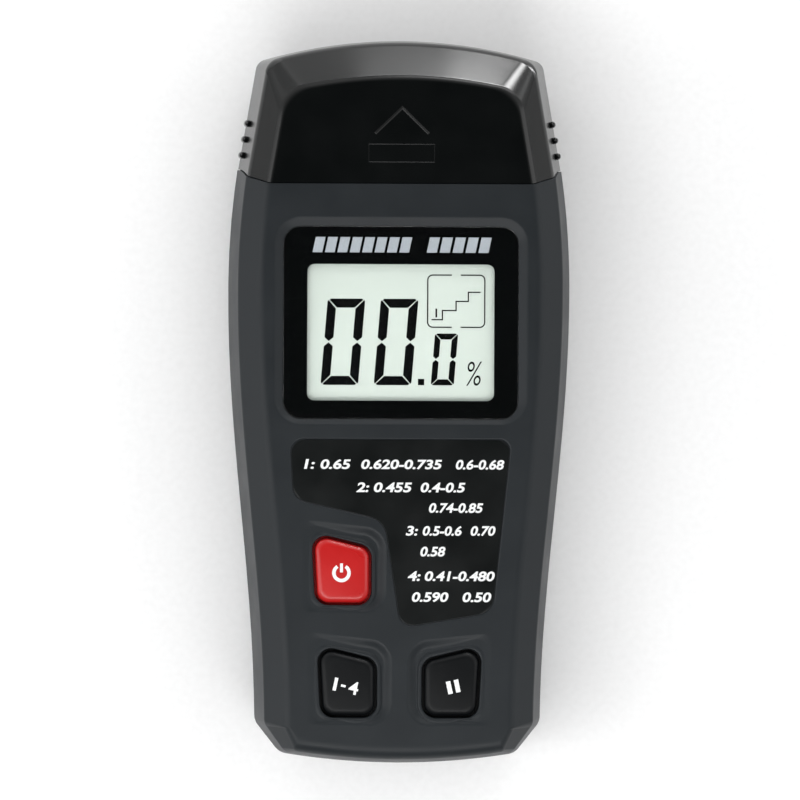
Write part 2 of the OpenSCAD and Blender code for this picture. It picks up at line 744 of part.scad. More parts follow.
module keypad_mat() color([0.12, 0.12, 0.13])
    difference() {
        translate([0, 0, board_top_z])
            linear_extrude(mat_t)
                polygon(mat_outline());
        for (key = keys_at)
            rod(key, dome_r + 0.05, board_top_z - 1, board_top_z + 2);
    }

// Collapsible silicone dome under a key
module dome(key) color([0.2, 0.2, 0.22])
    translate([key[0], key[1], 0])
        rotate_extrude()
            polygon([[dome_r - 1, board_top_z], [dome_r, board_top_z], [dome_r, board_top_z + mat_t],
                [dome_r - 0.6, board_top_z + mat_t], [dome_neck_r, dome_top_z - 0.25],
                [dome_neck_r - 0.2, dome_top_z], [0, dome_top_z], [0, dome_top_z - dome_plate_t],
                [dome_neck_r - 0.8, dome_top_z - dome_plate_t]]);

module pill(key) color([0.03, 0.03, 0.03])
    rod(key, pill_r, pill_z, pill_z + pill_t);

module power_key() color([0.8, 0.1, 0.1])
    at_key(power_at)
        key_cap();

module mode_key() color([0.09, 0.1, 0.11])
    at_key(mode_at)
        key_cap();

module hold_key() color([0.09, 0.1, 0.11])
    at_key(hold_at)
        key_cap();

// ---- Electrodes ----

module pin_block() color([0.08, 0.08, 0.09])
    difference() {
        union() {
            translate([0, cavity_end_y - 0.1, part_z])
                rotate([-90, 0, 0])
                    linear_extrude(neck_top_y - cavity_end_y + 0.1)
                        polygon(rounded(box_outline(2 * neck_half_w, 2 * neck_half_t), same(neck_r, 4)));
            block([-neck_half_w - 2, cavity_end_y - block_flange_t, part_z - neck_half_t - 2],
                [neck_half_w + 2, cavity_end_y - 0.05, part_z + neck_half_t + 2]);
        }
        for (s = [-1, 1])
            rod_y(s * pin_pitch / 2, socket_r + thread_gap, cavity_end_y - 10, neck_top_y + 5);
    }

module pin_sockets() color([0.8, 0.65, 0.3])
    for (s = [-1, 1])
        difference() {
            rod_y(s * pin_pitch / 2, socket_r, cavity_end_y - block_flange_t - socket_foot, neck_top_y);
            rod_y(s * pin_pitch / 2, stud_r + thread_gap, cavity_end_y + 1, neck_top_y + 5);
        }

// Threaded stud, round shaft and ground point in one piece
module electrode_pin(s) color([0.8, 0.8, 0.82]) {
    x = s * pin_pitch / 2;
    rod_y(x, stud_r, cavity_end_y + 2, pin_base_y + 0.4);
    rod_y(x, pin_d / 2, pin_base_y, pin_base_y + pin_reach - tip_len);
    rod_y(x, pin_d / 2, pin_base_y + pin_reach - tip_len, pin_base_y + pin_reach, tip_r);
}

module pin_nuts() color([0.75, 0.75, 0.77])
    for (s = [-1, 1])
        difference() {
            translate([s * pin_pitch / 2, neck_top_y, part_z])
                rotate([-90, 0, 0])
                    cylinder(r = nut_r, h = nut_h, $fn = 6);
            rod_y(s * pin_pitch / 2, stud_r + thread_gap, neck_top_y - 1, neck_top_y + 5);
        }

module pin_lead(s) color([0.7, 0.1, 0.1]) {
    x = s * pin_pitch / 2;
    end_y = cavity_end_y - block_flange_t - socket_foot;
    wire([[x, end_y, part_z], [x, end_y - 1.6, part_z], [x * 0.98, end_y - 4, part_z + 1.2],
        [x * 0.95, end_y - 6.4, part_z + 3.8], [x * 0.94, end_y - 6.9, board_z - 1.2],
        [x * 0.94, end_y - 6.9, board_z]], 1.2);
}

// ---- Battery ----

module battery() color([0.75, 0.6, 0.2])
    translate([0, battery_foot_y, battery_z])
        rotate([-90, 0, 0])
            translate([0, -battery_t, 0])
                linear_extrude(battery_l)
                    polygon(rounded(box_outline(battery_w, battery_t, battery_t / 2), same(battery_r, 4)));

// Rod along Y at the battery's middle height
module terminal_rod(x, r, y0, y1, fn = 48) {
    translate([x, y0, battery_mid_z])
        rotate([-90, 0, 0])
            cylinder(r = r, h = y1 - y0, $fn = fn);
}

module battery_terminals() color([0.8, 0.8, 0.8]) {
    terminal_rod(-terminal_x, stud_terminal_r, battery_top_y, battery_top_y + terminal_h);
    difference() {
        terminal_rod(terminal_x, cup_terminal_r, battery_top_y, battery_top_y + terminal_h, 6);
        terminal_rod(terminal_x, stud_terminal_r + 0.05, battery_top_y + 0.5, battery_top_y + terminal_h + 1);
    }
}

module battery_snap() color([0.05, 0.05, 0.05])
    difference() {
        translate([0, battery_top_y + snap_gap, battery_mid_z])
            rotate([-90, 0, 0])
                linear_extrude(snap_l)
                    polygon(rounded(box_outline(battery_w - 1.5, snap_t), same(4, 4)));
        terminal_rod(-terminal_x, stud_terminal_r + 0.15, battery_top_y, battery_top_y + terminal_h + 0.5);
        terminal_rod(terminal_x, cup_terminal_r + 0.2, battery_top_y, battery_top_y + terminal_h + 0.5);
    }

module battery_lead(x) {
    y = battery_top_y + snap_gap + snap_l;
    notch_z = battery_z + (notch_low + notch_high) / 2;
    wire([[x, y, notch_z], [x, y + 2, notch_z], [x * 1.05, bay_top_y, notch_z - 0.4],
        [x * 1.1, bay_top_y + 3, notch_z], [x * 1.15, bay_top_y + 6.5, notch_z + 2.8],
        [x * 1.2, bay_top_y + 8.5, notch_z + 6.6], [x * 1.2, bay_top_y + 8.6, board_z - 1.5],
        [x * 1.2, bay_top_y + 8.6, board_z]], 1.3);
}

module red_battery_lead() color([0.75, 0.08, 0.06])
    battery_lead(-4);

module black_battery_lead() color([0.05, 0.05, 0.05])
    battery_lead(4);

module battery_foam() color([0.25, 0.25, 0.27])
    block([-8, battery_foot_y + 8, bay_top_z - foam_t], [8, battery_top_y - 8, bay_top_z]);

// ---- Fasteners ----

// Cross-recess screw that points up, with its head's seat at seat_z
module screw(at, d, head_r, head_t, seat_z, tip_z) {
    difference() {
        union() {
            rod(at, d / 2, seat_z - 0.2, tip_z);
            rod(at, head_r, seat_z - head_t, seat_z);
        }
        for (a = [0, 90])
            translate([at[0], at[1], seat_z - head_t])
                rotate([0, 0, a])
                    block([-head_r * 0.6, -0.25, -1], [head_r * 0.6, 0.25, head_t * 0.5]);
    }
}

module case_screws() color([0.55, 0.55, 0.57])
    for (p = case_screws_at)
        screw(p, case_screw_d, screw_head_r, screw_head_t, screw_seat_z, part_z + 7.5);

module board_screws() color([0.6, 0.6, 0.62])
    for (p = board_screws_at)
        screw(p, board_screw_d, board_head_r, board_head_t, board_z, plate_z - 0.5);

front_shell();
rear_shell();
pin_cap();
battery_door();
display_lens();
lens_mask();
wood_group_label();
lcd_panel();
lcd_carrier();
contact_strips();
main_board();
controller_chip();
board_components();
keypad_mat();
dome(power_at);  // power_dome
dome(mode_at);  // mode_dome
dome(hold_at);  // hold_dome
pill(power_at);  // power_pill
pill(mode_at);  // mode_pill
pill(hold_at);  // hold_pill
power_key();
mode_key();
hold_key();
pin_block();
pin_sockets();
electrode_pin(-1);  // left_electrode_pin
electrode_pin(1);  // right_electrode_pin
pin_nuts();
pin_lead(-1);  // left_pin_lead
pin_lead(1);  // right_pin_lead
battery();
battery_terminals();
battery_snap();
red_battery_lead();
black_battery_lead();
battery_foam();
case_screws();
board_screws();
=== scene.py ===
"""Visual model of a two-pin moisture meter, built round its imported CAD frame.

The meter lies on its back: X across the case, Y towards the pin cap, Z out of the display. Shapes are
worked out in millimetres and become metres when a mesh is made.
"""

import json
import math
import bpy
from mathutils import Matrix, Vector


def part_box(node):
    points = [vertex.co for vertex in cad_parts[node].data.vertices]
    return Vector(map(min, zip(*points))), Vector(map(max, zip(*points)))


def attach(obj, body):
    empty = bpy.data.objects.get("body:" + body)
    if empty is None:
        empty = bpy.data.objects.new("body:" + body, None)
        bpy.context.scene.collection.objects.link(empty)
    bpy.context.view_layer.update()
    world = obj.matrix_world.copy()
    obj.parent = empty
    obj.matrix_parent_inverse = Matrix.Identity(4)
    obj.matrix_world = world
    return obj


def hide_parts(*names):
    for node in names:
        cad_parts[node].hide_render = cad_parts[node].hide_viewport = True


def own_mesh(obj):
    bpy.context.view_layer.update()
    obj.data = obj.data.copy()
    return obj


bl_info = {
    "name": "Moisture meter",
    "version": (1, 0, 0),
    "blender": (4, 5, 0),
    "location": "3D View > Sidebar > Meter",
    "description": "Builds the case, display, keys, prints and finishes of a two-pin moisture meter",
    "category": "Object",
}

import bmesh
import bpy
import numpy as np
from mathutils import Vector
from mathutils.geometry import delaunay_2d_cdt

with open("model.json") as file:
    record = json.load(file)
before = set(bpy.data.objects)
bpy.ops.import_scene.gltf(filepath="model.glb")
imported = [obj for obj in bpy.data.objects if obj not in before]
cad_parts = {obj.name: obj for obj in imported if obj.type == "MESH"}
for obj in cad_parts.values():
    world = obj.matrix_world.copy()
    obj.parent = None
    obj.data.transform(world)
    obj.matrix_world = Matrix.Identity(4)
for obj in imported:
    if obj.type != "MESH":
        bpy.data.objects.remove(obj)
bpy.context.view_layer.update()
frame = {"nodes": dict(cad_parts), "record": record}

MM = 0.001


def node_box(name):
    """Lowest and highest corner of a CAD node, in millimetres."""
    return [np.array(corner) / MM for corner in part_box(name)]


# Case sizes that follow the frame, in millimetres
SHELL_LOW, SHELL_HIGH = node_box("front_shell")
HALF_W = SHELL_HIGH[0]
CASE_T = SHELL_HIGH[2]
PART_Z = SHELL_LOW[2]
FOOT_Y = SHELL_LOW[1]
TOP_Y = node_box("pin_cap")[1][1]

# Seams: the arched one under the cap, and the V-groove between the two shells
SEAM_RISE = 2.5
SEAM_Y = SHELL_HIGH[1] - SEAM_RISE
SEAM_R = (PART_Z**2 + SEAM_RISE**2) / (2 * SEAM_RISE)
SEAM_CENTRE_Y = SHELL_HIGH[1] - SEAM_R
SEAM_V = 0.25
CAP_SEAM_GAP = 0.15

# Walls, and the posts that take the screws: outer and inner radius
WALL = 2.0
PLATE_Z = CASE_T - WALL
CAVITY_END_Y = SEAM_Y - 2.8
CAP_WALL = 1.8
CASE_POST = (2.25, 1.3)
BOARD_POST = (2.0, 1.05)

# Neck of the electrode block: how far it stands in from its flange, its gap and its corners
NECK_STEP = 2
NECK_GAP = 0.2
NECK_R = 2.0

# Outline of the body: an arc above its widest point and half a cosine wave below it
WIDE_Y = SEAM_Y - 19.1
SHOULDER_R = 150.0
BASE_HALF_W = HALF_W - 5.04
TAPER_LEN = WIDE_Y - FOOT_Y - 5
FOOT_R = 125.7
FOOT_CORNER_X = BASE_HALF_W - 4.5
HEEL_Y = FOOT_Y + 7.5
CAP_TOP_R = 85.5
CAP_LEAN = 0.172

# Display: the lens in its recess, the black print and the window in it, and the cell's rim
LENS_LOW, LENS_HIGH = node_box("display_lens")
LENS_R = 3.3
LENS_GAP = 0.1
RECESS_SIDE, RECESS_FOOT = 1.8, 1.1
MASK_LOW, MASK_HIGH = node_box("lens_mask")
CELL_LOW, CELL_HIGH = node_box("lcd_panel")
CELL_RIM = np.array([1.95, 2.25])
WINDOW = np.concatenate([CELL_LOW[:2] + CELL_RIM, CELL_HIGH[:2] - CELL_RIM])
WINDOW_X, WINDOW_Y = (WINDOW[:2] + WINDOW[2:]) / 2
WINDOW_R = 1.3
WINDOW_RIM = 0.8

# Label: its recess, and the round corners of its L
LABEL_Z = node_box("wood_group_label")[1][2]
LABEL_DROP = 0.25
LABEL_GAP = 0.1
LABEL_RADII = np.array([3, 4.2, 2.6, 3.4, 2, 2.4])
LABEL_LEFT, LABEL_RIGHT, LABEL_INNER = -19.7, 19.8, -0.1
LABEL_MARGIN = 3.8

# Keys: the cap that shows, the flange that keeps it in, and the ink on it
KEY_W = 10.0
KEY_H = 12.2
KEY_SLANT = 2.5
KEY_LEAN = 0.7
KEY_R = 2.1
KEY_GAP = 0.4
KEY_CROWN = 0.5
KEY_DOME = 0.175
KEY_EDGE = 1.0
KEY_DRAFT = 0.04
FLANGE_RIM = 0.9
FLANGE_T = 1.0
FLANGE_Z = PLATE_Z - 0.1 - FLANGE_T
STEM_R = 2.4
INK_GAP = 0.004
INK_T = 0.02


def key_centre(pill):
    """Middle of a key: its contact pill sits right under it."""
    low, high = node_box(pill)
    return (low[:2] + high[:2]) / 2


KEYS = {
    "power": (key_centre("power_pill"), 1),
    "mode": (key_centre("mode_pill"), 1),
    "hold": (key_centre("hold_pill"), -1),
}


# ---------------------------------------------------------------- outlines


def unit(v):
    """Vectors of length one along the last axis."""
    return v / np.linalg.norm(v, axis=-1, keepdims=True)


def fillet(before, corner, after, radius, steps=8):
    """Arcs that round corners. The arc's centre lies on the bisector at radius / sin(half angle), and its
    points turn evenly from one touching point to the other."""
    before, corner, after = (np.asarray(p, float) for p in (before, corner, after))
    u, v = unit(before - corner), unit(after - corner)
    half = np.arccos(np.clip((u * v).sum(-1, keepdims=True), -1, 1)) / 2
    radius = np.asarray(radius, float)
    radius = radius.reshape(radius.shape + (1,) * (half.ndim - radius.ndim)) if radius.ndim else radius
    centre = corner + unit(u + v) * radius / np.sin(half)
    first, last = corner + u * radius / np.tan(half) - centre, corner + v * radius / np.tan(half) - centre
    sweep = (np.pi - 2 * half)[..., None, :]
    t = np.linspace(0, 1, steps + 1)[:, None]
    blend = np.sin((1 - t) * sweep) * first[..., None, :] + np.sin(t * sweep) * last[..., None, :]
    return centre[..., None, :] + blend / np.sin(sweep)


def rounded(points, radii, steps=8, between=0):
    """Closed outline with round corners, and some points along each straight stretch."""
    p = np.asarray(points, float)
    arcs = fillet(np.roll(p, 1, 0), p, np.roll(p, -1, 0), np.broadcast_to(radii, len(p)), steps)
    if between:
        share = (np.arange(1, between + 1) / (between + 1))[:, None]
        start, end = arcs[:, -1:], np.roll(arcs[:, :1], -1, 0)
        arcs = np.concatenate([arcs, start + (end - start) * share], axis=1)
    return arcs.reshape(-1, 2)


def grown(points, d):
    """Counter-clockwise outline moved outwards by d: each corner goes along both edge normals."""
    p = np.asarray(points, float)
    back, ahead = unit(p - np.roll(p, 1, 0)), unit(np.roll(p, -1, 0) - p)
    na, nb = back[:, ::-1] * [1, -1], ahead[:, ::-1] * [1, -1]
    return p + d * (na + nb) / (1 + (na * nb).sum(1, keepdims=True))


def rectangle(x0, y0, x1, y1):
    """Corners of a rectangle, counter-clockwise."""
    return np.array([[x0, y0], [x1, y0], [x1, y1], [x0, y1]], float)


def level(outline, z):
    """Outline lifted to a height, which is one number or one for each point."""
    return np.column_stack([outline, np.broadcast_to(z, len(outline))])


def smooth(t):
    """S-curve from 0 to 1: three times the square less twice the cube."""
    return t * t * (3 - 2 * t)


def side_x(y):
    """Half width of the body at y."""
    y = np.asarray(y, float)
    wave = (1 + np.cos(np.pi * np.clip((WIDE_Y - y) / TAPER_LEN, 0, 1))) / 2
    arc = HALF_W - (y - WIDE_Y) ** 2 / (2 * SHOULDER_R)
    return np.where(y > WIDE_Y, arc, BASE_HALF_W + (HALF_W - BASE_HALF_W) * wave)


def cap_side_x(y):
    """Half width of the cap, which leans in on straight sides from the seam."""
    return side_x(np.minimum(y, SEAM_Y)) - CAP_LEAN * np.maximum(0, y - SEAM_Y)


def foot_arc(x, inset):
    """Place in Y of the foot's edge at x: a parabola that stands for a wide arc."""
    return FOOT_Y + inset + x**2 / (2 * FOOT_R)


def top_arc(x, inset):
    """Place in Y of the cap's end edge at x, made in the same way."""
    return TOP_Y - inset - x**2 / (2 * CAP_TOP_R)


def profile(points, radii, steps=7):
    """Open profile of inset and height with its inner corners rounded."""
    p = np.asarray(points, float)
    arcs = fillet(p[:-2], p[1:-1], p[2:], np.asarray(radii, float), steps).reshape(-1, 2)
    return np.concatenate([p[:1], arcs, p[-1:]])


def mirrored(half):
    """Closed rings from right halves that start on the mirror line, and run counter-clockwise."""
    other = half[:, :0:-1] * [-1, 1, 1]
    return np.concatenate([half, other], axis=1)


def body_rings(side, end, end_y, rows=70):
    """Rings of the body, one for each pair of profile points. The side profile holds inset and height along
    the sides, and the end profile holds them at the foot. Each ring runs along the foot's arc, round the
    heel corner and up the side."""
    a, za = side[:, :1], side[:, 1:]
    e, ze = end[:, :1], end[:, 1:]
    r = np.maximum(0.7, 3 - 0.4 * a)[:, 0]
    c1x, c2y = FOOT_CORNER_X - a / 2, HEEL_Y - 0.2 * a
    c1 = np.hstack([c1x, foot_arc(c1x, e)])
    c2 = np.hstack([side_x(c2y) - a, c2y])
    heel = fillet(np.hstack([c1x - 2, foot_arc(c1x - 2, e)]), c1, c2, r)
    hip = fillet(c1, c2, np.hstack([side_x(c2y + 2) - a, c2y + 2]), r)
    x = heel[:, :1, 0] * np.linspace(0, 1, 13)[:-1]
    y = hip[:, -1:, 1] + (end_y - hip[:, -1:, 1]) * np.linspace(0, 1, rows + 1)[1:]
    foot = np.stack([x, foot_arc(x, e)], -1)
    flank = np.stack([side_x(y) - a, y], -1)
    corner = np.concatenate([heel, hip], axis=1)
    turn = smooth(np.linspace(0, 1, corner.shape[1]))
    z = np.concatenate([ze + 0 * x, ze + (za - ze) * turn, za + 0 * y], axis=1)
    return mirrored(np.dstack([np.concatenate([foot, corner, flank], axis=1), z]))


def cap_rings(side, end, start_y, rows=24):
    """Rings of the cap, from the middle of its top arc round the corner and down the side."""
    a, za = side[:, :1], side[:, 1:]
    e, ze = end[:, :1], end[:, 1:]
    r = (2 + 4.5 * np.minimum(1, a / 6))[:, 0]
    guess = cap_side_x(TOP_Y - 4) - a
    cx = cap_side_x(top_arc(guess, e)) - a
    cy = top_arc(cx, e)
    near = np.hstack([cx - 4, top_arc(cx - 4, e)])
    low = np.hstack([cap_side_x(cy - 8) - a, cy - 8])
    corner = fillet(near, np.hstack([cx, cy]), low, r, 14)
    x = corner[:, :1, 0] * np.linspace(0, 1, 17)[:-1]
    y = corner[:, -1:, 1] + (start_y - corner[:, -1:, 1]) * np.linspace(0, 1, rows + 1)[1:]
    turn = np.linspace(0, 1, corner.shape[1])
    z = np.concatenate([ze + 0 * x, ze + (za - ze) * turn, za + 0 * y], axis=1)
    top = np.stack([x, top_arc(x, e)], -1)
    flank = np.stack([cap_side_x(y) - a, y], -1)
    rings = mirrored(np.dstack([np.concatenate([top, corner, flank], axis=1), z]))
    return rings[:, ::-1]


# ---------------------------------------------------------------- meshes


def ring_faces(rows, cols):
    """Quads between neighbouring closed rings."""
    i, j = np.arange(rows - 1)[:, None] * cols, np.arange(cols)[None]
    k = (j + 1) % cols
    return np.stack([i + j, i + k, i + k + cols, i + j + cols], -1).reshape(-1, 4)


def fill(outlines):
    """Flat fill between an outline and the holes in it: a constrained Delaunay triangulation, less the
    triangles whose centres lie inside an even number of the outlines."""
    loops = [np.asarray(o, float) for o in outlines]
    points = np.concatenate(loops)
    edges, start = [], 0
    for loop in loops:
        ids = start + np.arange(len(loop))
        edges.append(np.stack([ids, np.roll(ids, -1)], 1))
        start += len(loop)
    edges = np.concatenate(edges)
    got = delaunay_2d_cdt([Vector(p) for p in points], edges.tolist(), [], 0, 1e-7)
    xy, tri = np.array([v[:] for v in got[0]]), np.array(got[2])
    centre = xy[tri].mean(1)
    a, b = points[edges[:, 0]][:, None], points[edges[:, 1]][:, None]
    rise = np.where(b[..., 1] == a[..., 1], 1, b[..., 1] - a[..., 1])
    cross_x = a[..., 0] + (centre[:, 1] - a[..., 1]) * (b[..., 0] - a[..., 0]) / rise
    hit = ((a[..., 1] > centre[:, 1]) != (b[..., 1] > centre[:, 1])) & (centre[:, 0] < cross_x)
    return xy, tri[hit.sum(0) % 2 == 1]


class Shape:
    """Collects vertices and faces, in millimetres, and makes one mesh object of them."""

    WELD = 1e-4

    def __init__(self):
        self.points, self.faces, self.count = [], [], 0

    def add(self, points, faces):
        """Adds vertices, and faces that count from the first of them."""
        points = np.asarray(points, float).reshape(-1, 3)
        self.points.append(points)
        self.faces += (np.asarray(faces) + self.count).tolist()
        self.count += len(points)
        return self

    def rings(self, rings, caps=(False, False)):
        """Quads between closed rings, with a flat fill over the first or the last ring."""
        rings = np.asarray(rings, float)
        self.add(rings, ring_faces(*rings.shape[:2]))
        for wanted, ring, flip in ((caps[0], rings[0], True), (caps[1], rings[-1], False)):
            if wanted:
                self.flat([ring[:, :2]], ring[:, 2].mean(), flip)
        return self

    def flat(self, outlines, z, flip=False):
        """Flat fill at height z, which faces up unless it is flipped."""
        xy, tri = fill(outlines)
        return self.add(level(xy, z), tri[:, ::-1] if flip else tri)

    def plate(self, outline, z0, z1):
        """Straight plate over an outline."""
        return self.rings([level(outline, z) for z in (z0, z1)], (True, True))

    def mesh(self, name, angle=32, tidy=True):
        """The finished object: doubles merged, faces turned outwards, and edges sharper than angle kept."""
        mesh = bpy.data.meshes.new(name)
        mesh.from_pydata(np.concatenate(self.points) * MM, [], self.faces)
        work = bmesh.new()
        work.from_mesh(mesh)
        bmesh.ops.remove_doubles(work, verts=work.verts, dist=self.WELD * MM)
        bmesh.ops.dissolve_degenerate(work, dist=self.WELD * MM, edges=work.edges)
        if tidy:
            bmesh.ops.recalc_face_normals(work, faces=work.faces)
        work.to_mesh(mesh)
        work.free()
        mesh.shade_smooth()
        mesh.set_sharp_from_angle(angle=math.radians(angle))
        return place(name, mesh)


def place(name, data):
    """New object in the scene, at the origin."""
    thing = bpy.data.objects.new(name, data)
    bpy.context.scene.collection.objects.link(thing)
    return thing


def evaluated_mesh(thing):
    """Mesh of an object with its modifiers applied, or of a text."""
    graph = bpy.context.evaluated_depsgraph_get()
    return bpy.data.meshes.new_from_object(thing.evaluated_get(graph))


def apply_modifiers(piece):
    """Turns the piece's modifiers into its mesh."""
    done = evaluated_mesh(piece)
    old = piece.data
    piece.modifiers.clear()
    piece.data = done
    done.name = piece.name
    bpy.data.meshes.remove(old)


def combine(piece, tools, how="DIFFERENCE"):
    """Cuts the tools from the piece, or joins or keeps what they share, and removes the tools."""
    for tool in tools:
        step = piece.modifiers.new(tool.name, "BOOLEAN")
        step.operation = how
        step.solver = "EXACT"
        step.object = tool
    apply_modifiers(piece)
    for tool in tools:
        mesh = tool.data
        bpy.data.objects.remove(tool)
        bpy.data.meshes.remove(mesh)
    return piece


def join(piece, others):
    """Moves the others' meshes into the piece."""
    work = bmesh.new()
    for part in (piece, *others):
        work.from_mesh(part.data)
    work.to_mesh(piece.data)
    work.free()
    for part in others:
        bpy.data.objects.remove(part)
    return piece


def soften(piece, angle=32):
    """Smooth shading that keeps sharp edges and lets large flat faces stay flat."""
    piece.data.shade_smooth()
    piece.data.set_sharp_from_angle(angle=math.radians(angle))
    weigh = piece.modifiers.new("Even shading", "WEIGHTED_NORMAL")
    weigh.keep_sharp = True
    weigh.weight = 100
    apply_modifiers(piece)
    return piece


def finish(piece, body, slot, material, *nodes):
    """Gives a piece its material and its body, and hides the CAD nodes that it stands for."""
    piece.data.materials.clear()
    piece.data.materials.append(material)
    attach(piece, body)
    if nodes:
        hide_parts(*nodes)
    return piece


# ---------------------------------------------------------------- materials


def linear(colour):
    """Linear colour from an sRGB hex string."""
    value = np.array([int(colour[i : i + 2], 16) for i in (1, 3, 5)]) / 255
    return tuple(np.where(value <= 0.04045, value / 12.92, ((value + 0.055) / 1.055) ** 2.4))


def add_node(tree, kind, settings=None, **inputs):
    """Adds a node, sets its properties, and links or fills its inputs by name."""
    made = tree.nodes.new(kind)
    for key, value in (settings or {}).items():
        setattr(made, key, value)
    for key, value in inputs.items():
        socket = made.inputs[int(key[1:]) if key[0] == "n" and key[1:].isdigit() else key.replace("_", " ")]
        if isinstance(value, bpy.types.NodeSocket):
            tree.links.new(value, socket)
        elif socket.type == "RGBA" and len(value) == 3:
            socket.default_value = (*value, 1)
        else:
            socket.default_value = value
    return made


def shader(name, **inputs):
    """A material with one Principled shader. Returns the material, its tree and the shader."""
    material = bpy.data.materials.new(name)
    material.use_nodes = True
    tree = material.node_tree
    tree.nodes.clear()
    surface = add_node(tree, "ShaderNodeBsdfPrincipled", **inputs)
    out = add_node(tree, "ShaderNodeOutputMaterial", Surface=surface.outputs[0])
    out.name = "Output"
    return material, tree, surface


def texture(tree, pitch_mm, kind="ShaderNodeTexNoise", stretch=(1, 1, 1), **inputs):
    """Pattern in the object's own coordinates whose features lie pitch_mm apart, drawn out along an axis
    whose stretch is small."""
    where = add_node(tree, "ShaderNodeTexCoord").outputs["Object"]
    if stretch != (1, 1, 1):
        where = add_node(tree, "ShaderNodeMapping", Vector=where, Scale=stretch).outputs[0]
    return add_node(tree, kind, Vector=where, Scale=1 / (pitch_mm * MM), **inputs).outputs[0]


def drive(tree, target, pattern, between=(0.3, 0.7), **sockets):
    """Lets a pattern drive a shader's sockets, each given by its name. A colour runs between two colours and
    a number between two numbers, and Normal takes the depth of the relief in millimetres."""
    for name, ends in sockets.items():
        socket = target.inputs[name.replace("_", " ")]
        if name == "Normal":
            made = add_node(tree, "ShaderNodeBump", Height=pattern, Distance=ends * MM, Strength=1.0)
        elif socket.type == "RGBA":
            made = add_node(tree, "ShaderNodeValToRGB", Fac=pattern)
            for stop, colour, position in zip(made.color_ramp.elements, ends, between):
                stop.color = (*colour, 1)
                stop.position = position
        else:
            start, stop = between
            made = add_node(
                tree, "ShaderNodeMapRange", Value=pattern, From_Min=start, From_Max=stop, To_Min=ends[0],
                To_Max=ends[1],
            )
        tree.links.new(made.outputs[0], socket)


def shade_of(colour, factor):
    """The colour made darker or lighter."""
    return tuple(c * factor for c in colour)


# Slow change of tone and gloss over a moulded part
DRIFT_MM = 9.0


def plastic(name, colour, roughness, grain_mm, depth_mm, drift=0.06, spread=0.05, **more):
    """Moulded plastic: a fine surface grain, and slight changes of tone and gloss over the part."""
    material, tree, surface = shader(name, Roughness=roughness, **more)
    drive(tree, surface, texture(tree, grain_mm, Detail=2.0), Normal=depth_mm)
    drive(
        tree, surface, texture(tree, DRIFT_MM, Detail=3.0),
        Base_Color=(shade_of(colour, 1 - drift), shade_of(colour, 1 + drift)),
        Roughness=(roughness - spread, roughness + spread),
    )
    return material


def case_abs(colours):
    """Charcoal ABS from a spark-eroded mould: an even fine grain that breaks up highlights."""
    return plastic(
        "Spark-textured charcoal ABS", colours.case[:], roughness=0.46, grain_mm=0.32, depth_mm=0.009,
        drift=0.05, spread=0.04, Specular_IOR_Level=0.24,
    )


def cap_abs(colours):
    """Polished black ABS: nearly smooth, with a faint orange peel that bends reflections a little."""
    return plastic(
        "Polished black ABS", colours.cap[:], roughness=0.2, grain_mm=1.1, depth_mm=0.004,
        drift=0.08, spread=0.03, Specular_IOR_Level=0.42,
    )


def black_key_plastic(colours):
    """Satin black moulded ABS: a fine grain, with highlights a little softer than the case's."""
    return plastic(
        "Satin black key plastic", colours.black_key[:], roughness=0.42, grain_mm=0.25, depth_mm=0.004,
        drift=0.1, spread=0.04, Specular_IOR_Level=0.2,
    )


def red_key_plastic(colours):
    """Glossy red moulded key: even colour with a clear soft highlight."""
    return plastic(
        "Gloss red key plastic", colours.red_key[:], roughness=0.28, grain_mm=0.5, depth_mm=0.003,
        drift=0.05, spread=0.04,
    )


def label_film(colours):
    """Black polyester film with a satin hard coat: nearly flat, with slight ripples of gloss."""
    return plastic(
        "Satin black polyester film", colours.label[:], roughness=0.33, grain_mm=0.6, depth_mm=0.003,
        drift=0.12, spread=0.05, Specular_IOR_Level=0.28,
    )


def screen_ink(name, colour, roughness=0.5, metal=0.0, gloss=0.5):
    """Screen-printed ink: a slightly uneven film whose density varies over a fraction of a millimetre. Ink
    that sits against the clear lens or inside the display has no gloss of its own."""
    material, tree, surface = shader(name, Roughness=roughness, Metallic=metal, Specular_IOR_Level=gloss)
    drive(
        tree, surface, texture(tree, 0.35, Detail=3.0), Base_Color=(shade_of(colour, 0.88), colour),
        Roughness=(roughness - 0.06, roughness + 0.06),
    )
    return material


def clear_acrylic():
    """Clear cast acrylic: sharp reflections, and lamps shine through it on to the display."""
    material, tree, surface = shader("Clear cast acrylic", Roughness=0.03, IOR=1.49, Transmission_Weight=1.0)
    surface.inputs["Base Color"].default_value = (0.97, 0.98, 0.975, 1)
    drive(tree, surface, texture(tree, 6.0, Detail=1.0), Normal=0.002)
    lamp = add_node(tree, "ShaderNodeLightPath").outputs["Is Shadow Ray"]
    through = add_node(tree, "ShaderNodeBsdfTransparent", Color=(0.95, 0.96, 0.955))
    mix = add_node(tree, "ShaderNodeMixShader", Fac=lamp, n1=surface.outputs[0], n2=through.outputs[0])
    tree.links.new(mix.outputs[0], tree.nodes["Output"].inputs["Surface"])
    return material


def display_reflector(colours):
    """Reflective liquid crystal cell: a pale green-grey diffuser with a faint fine mottle."""
    material, tree, surface = shader("Reflective display diffuser", Roughness=0.45, Specular_IOR_Level=0.1)
    colour = colours.display[:]
    drive(tree, surface, texture(tree, 0.5, Detail=2.0), Base_Color=(shade_of(colour, 0.985), colour))
    return material


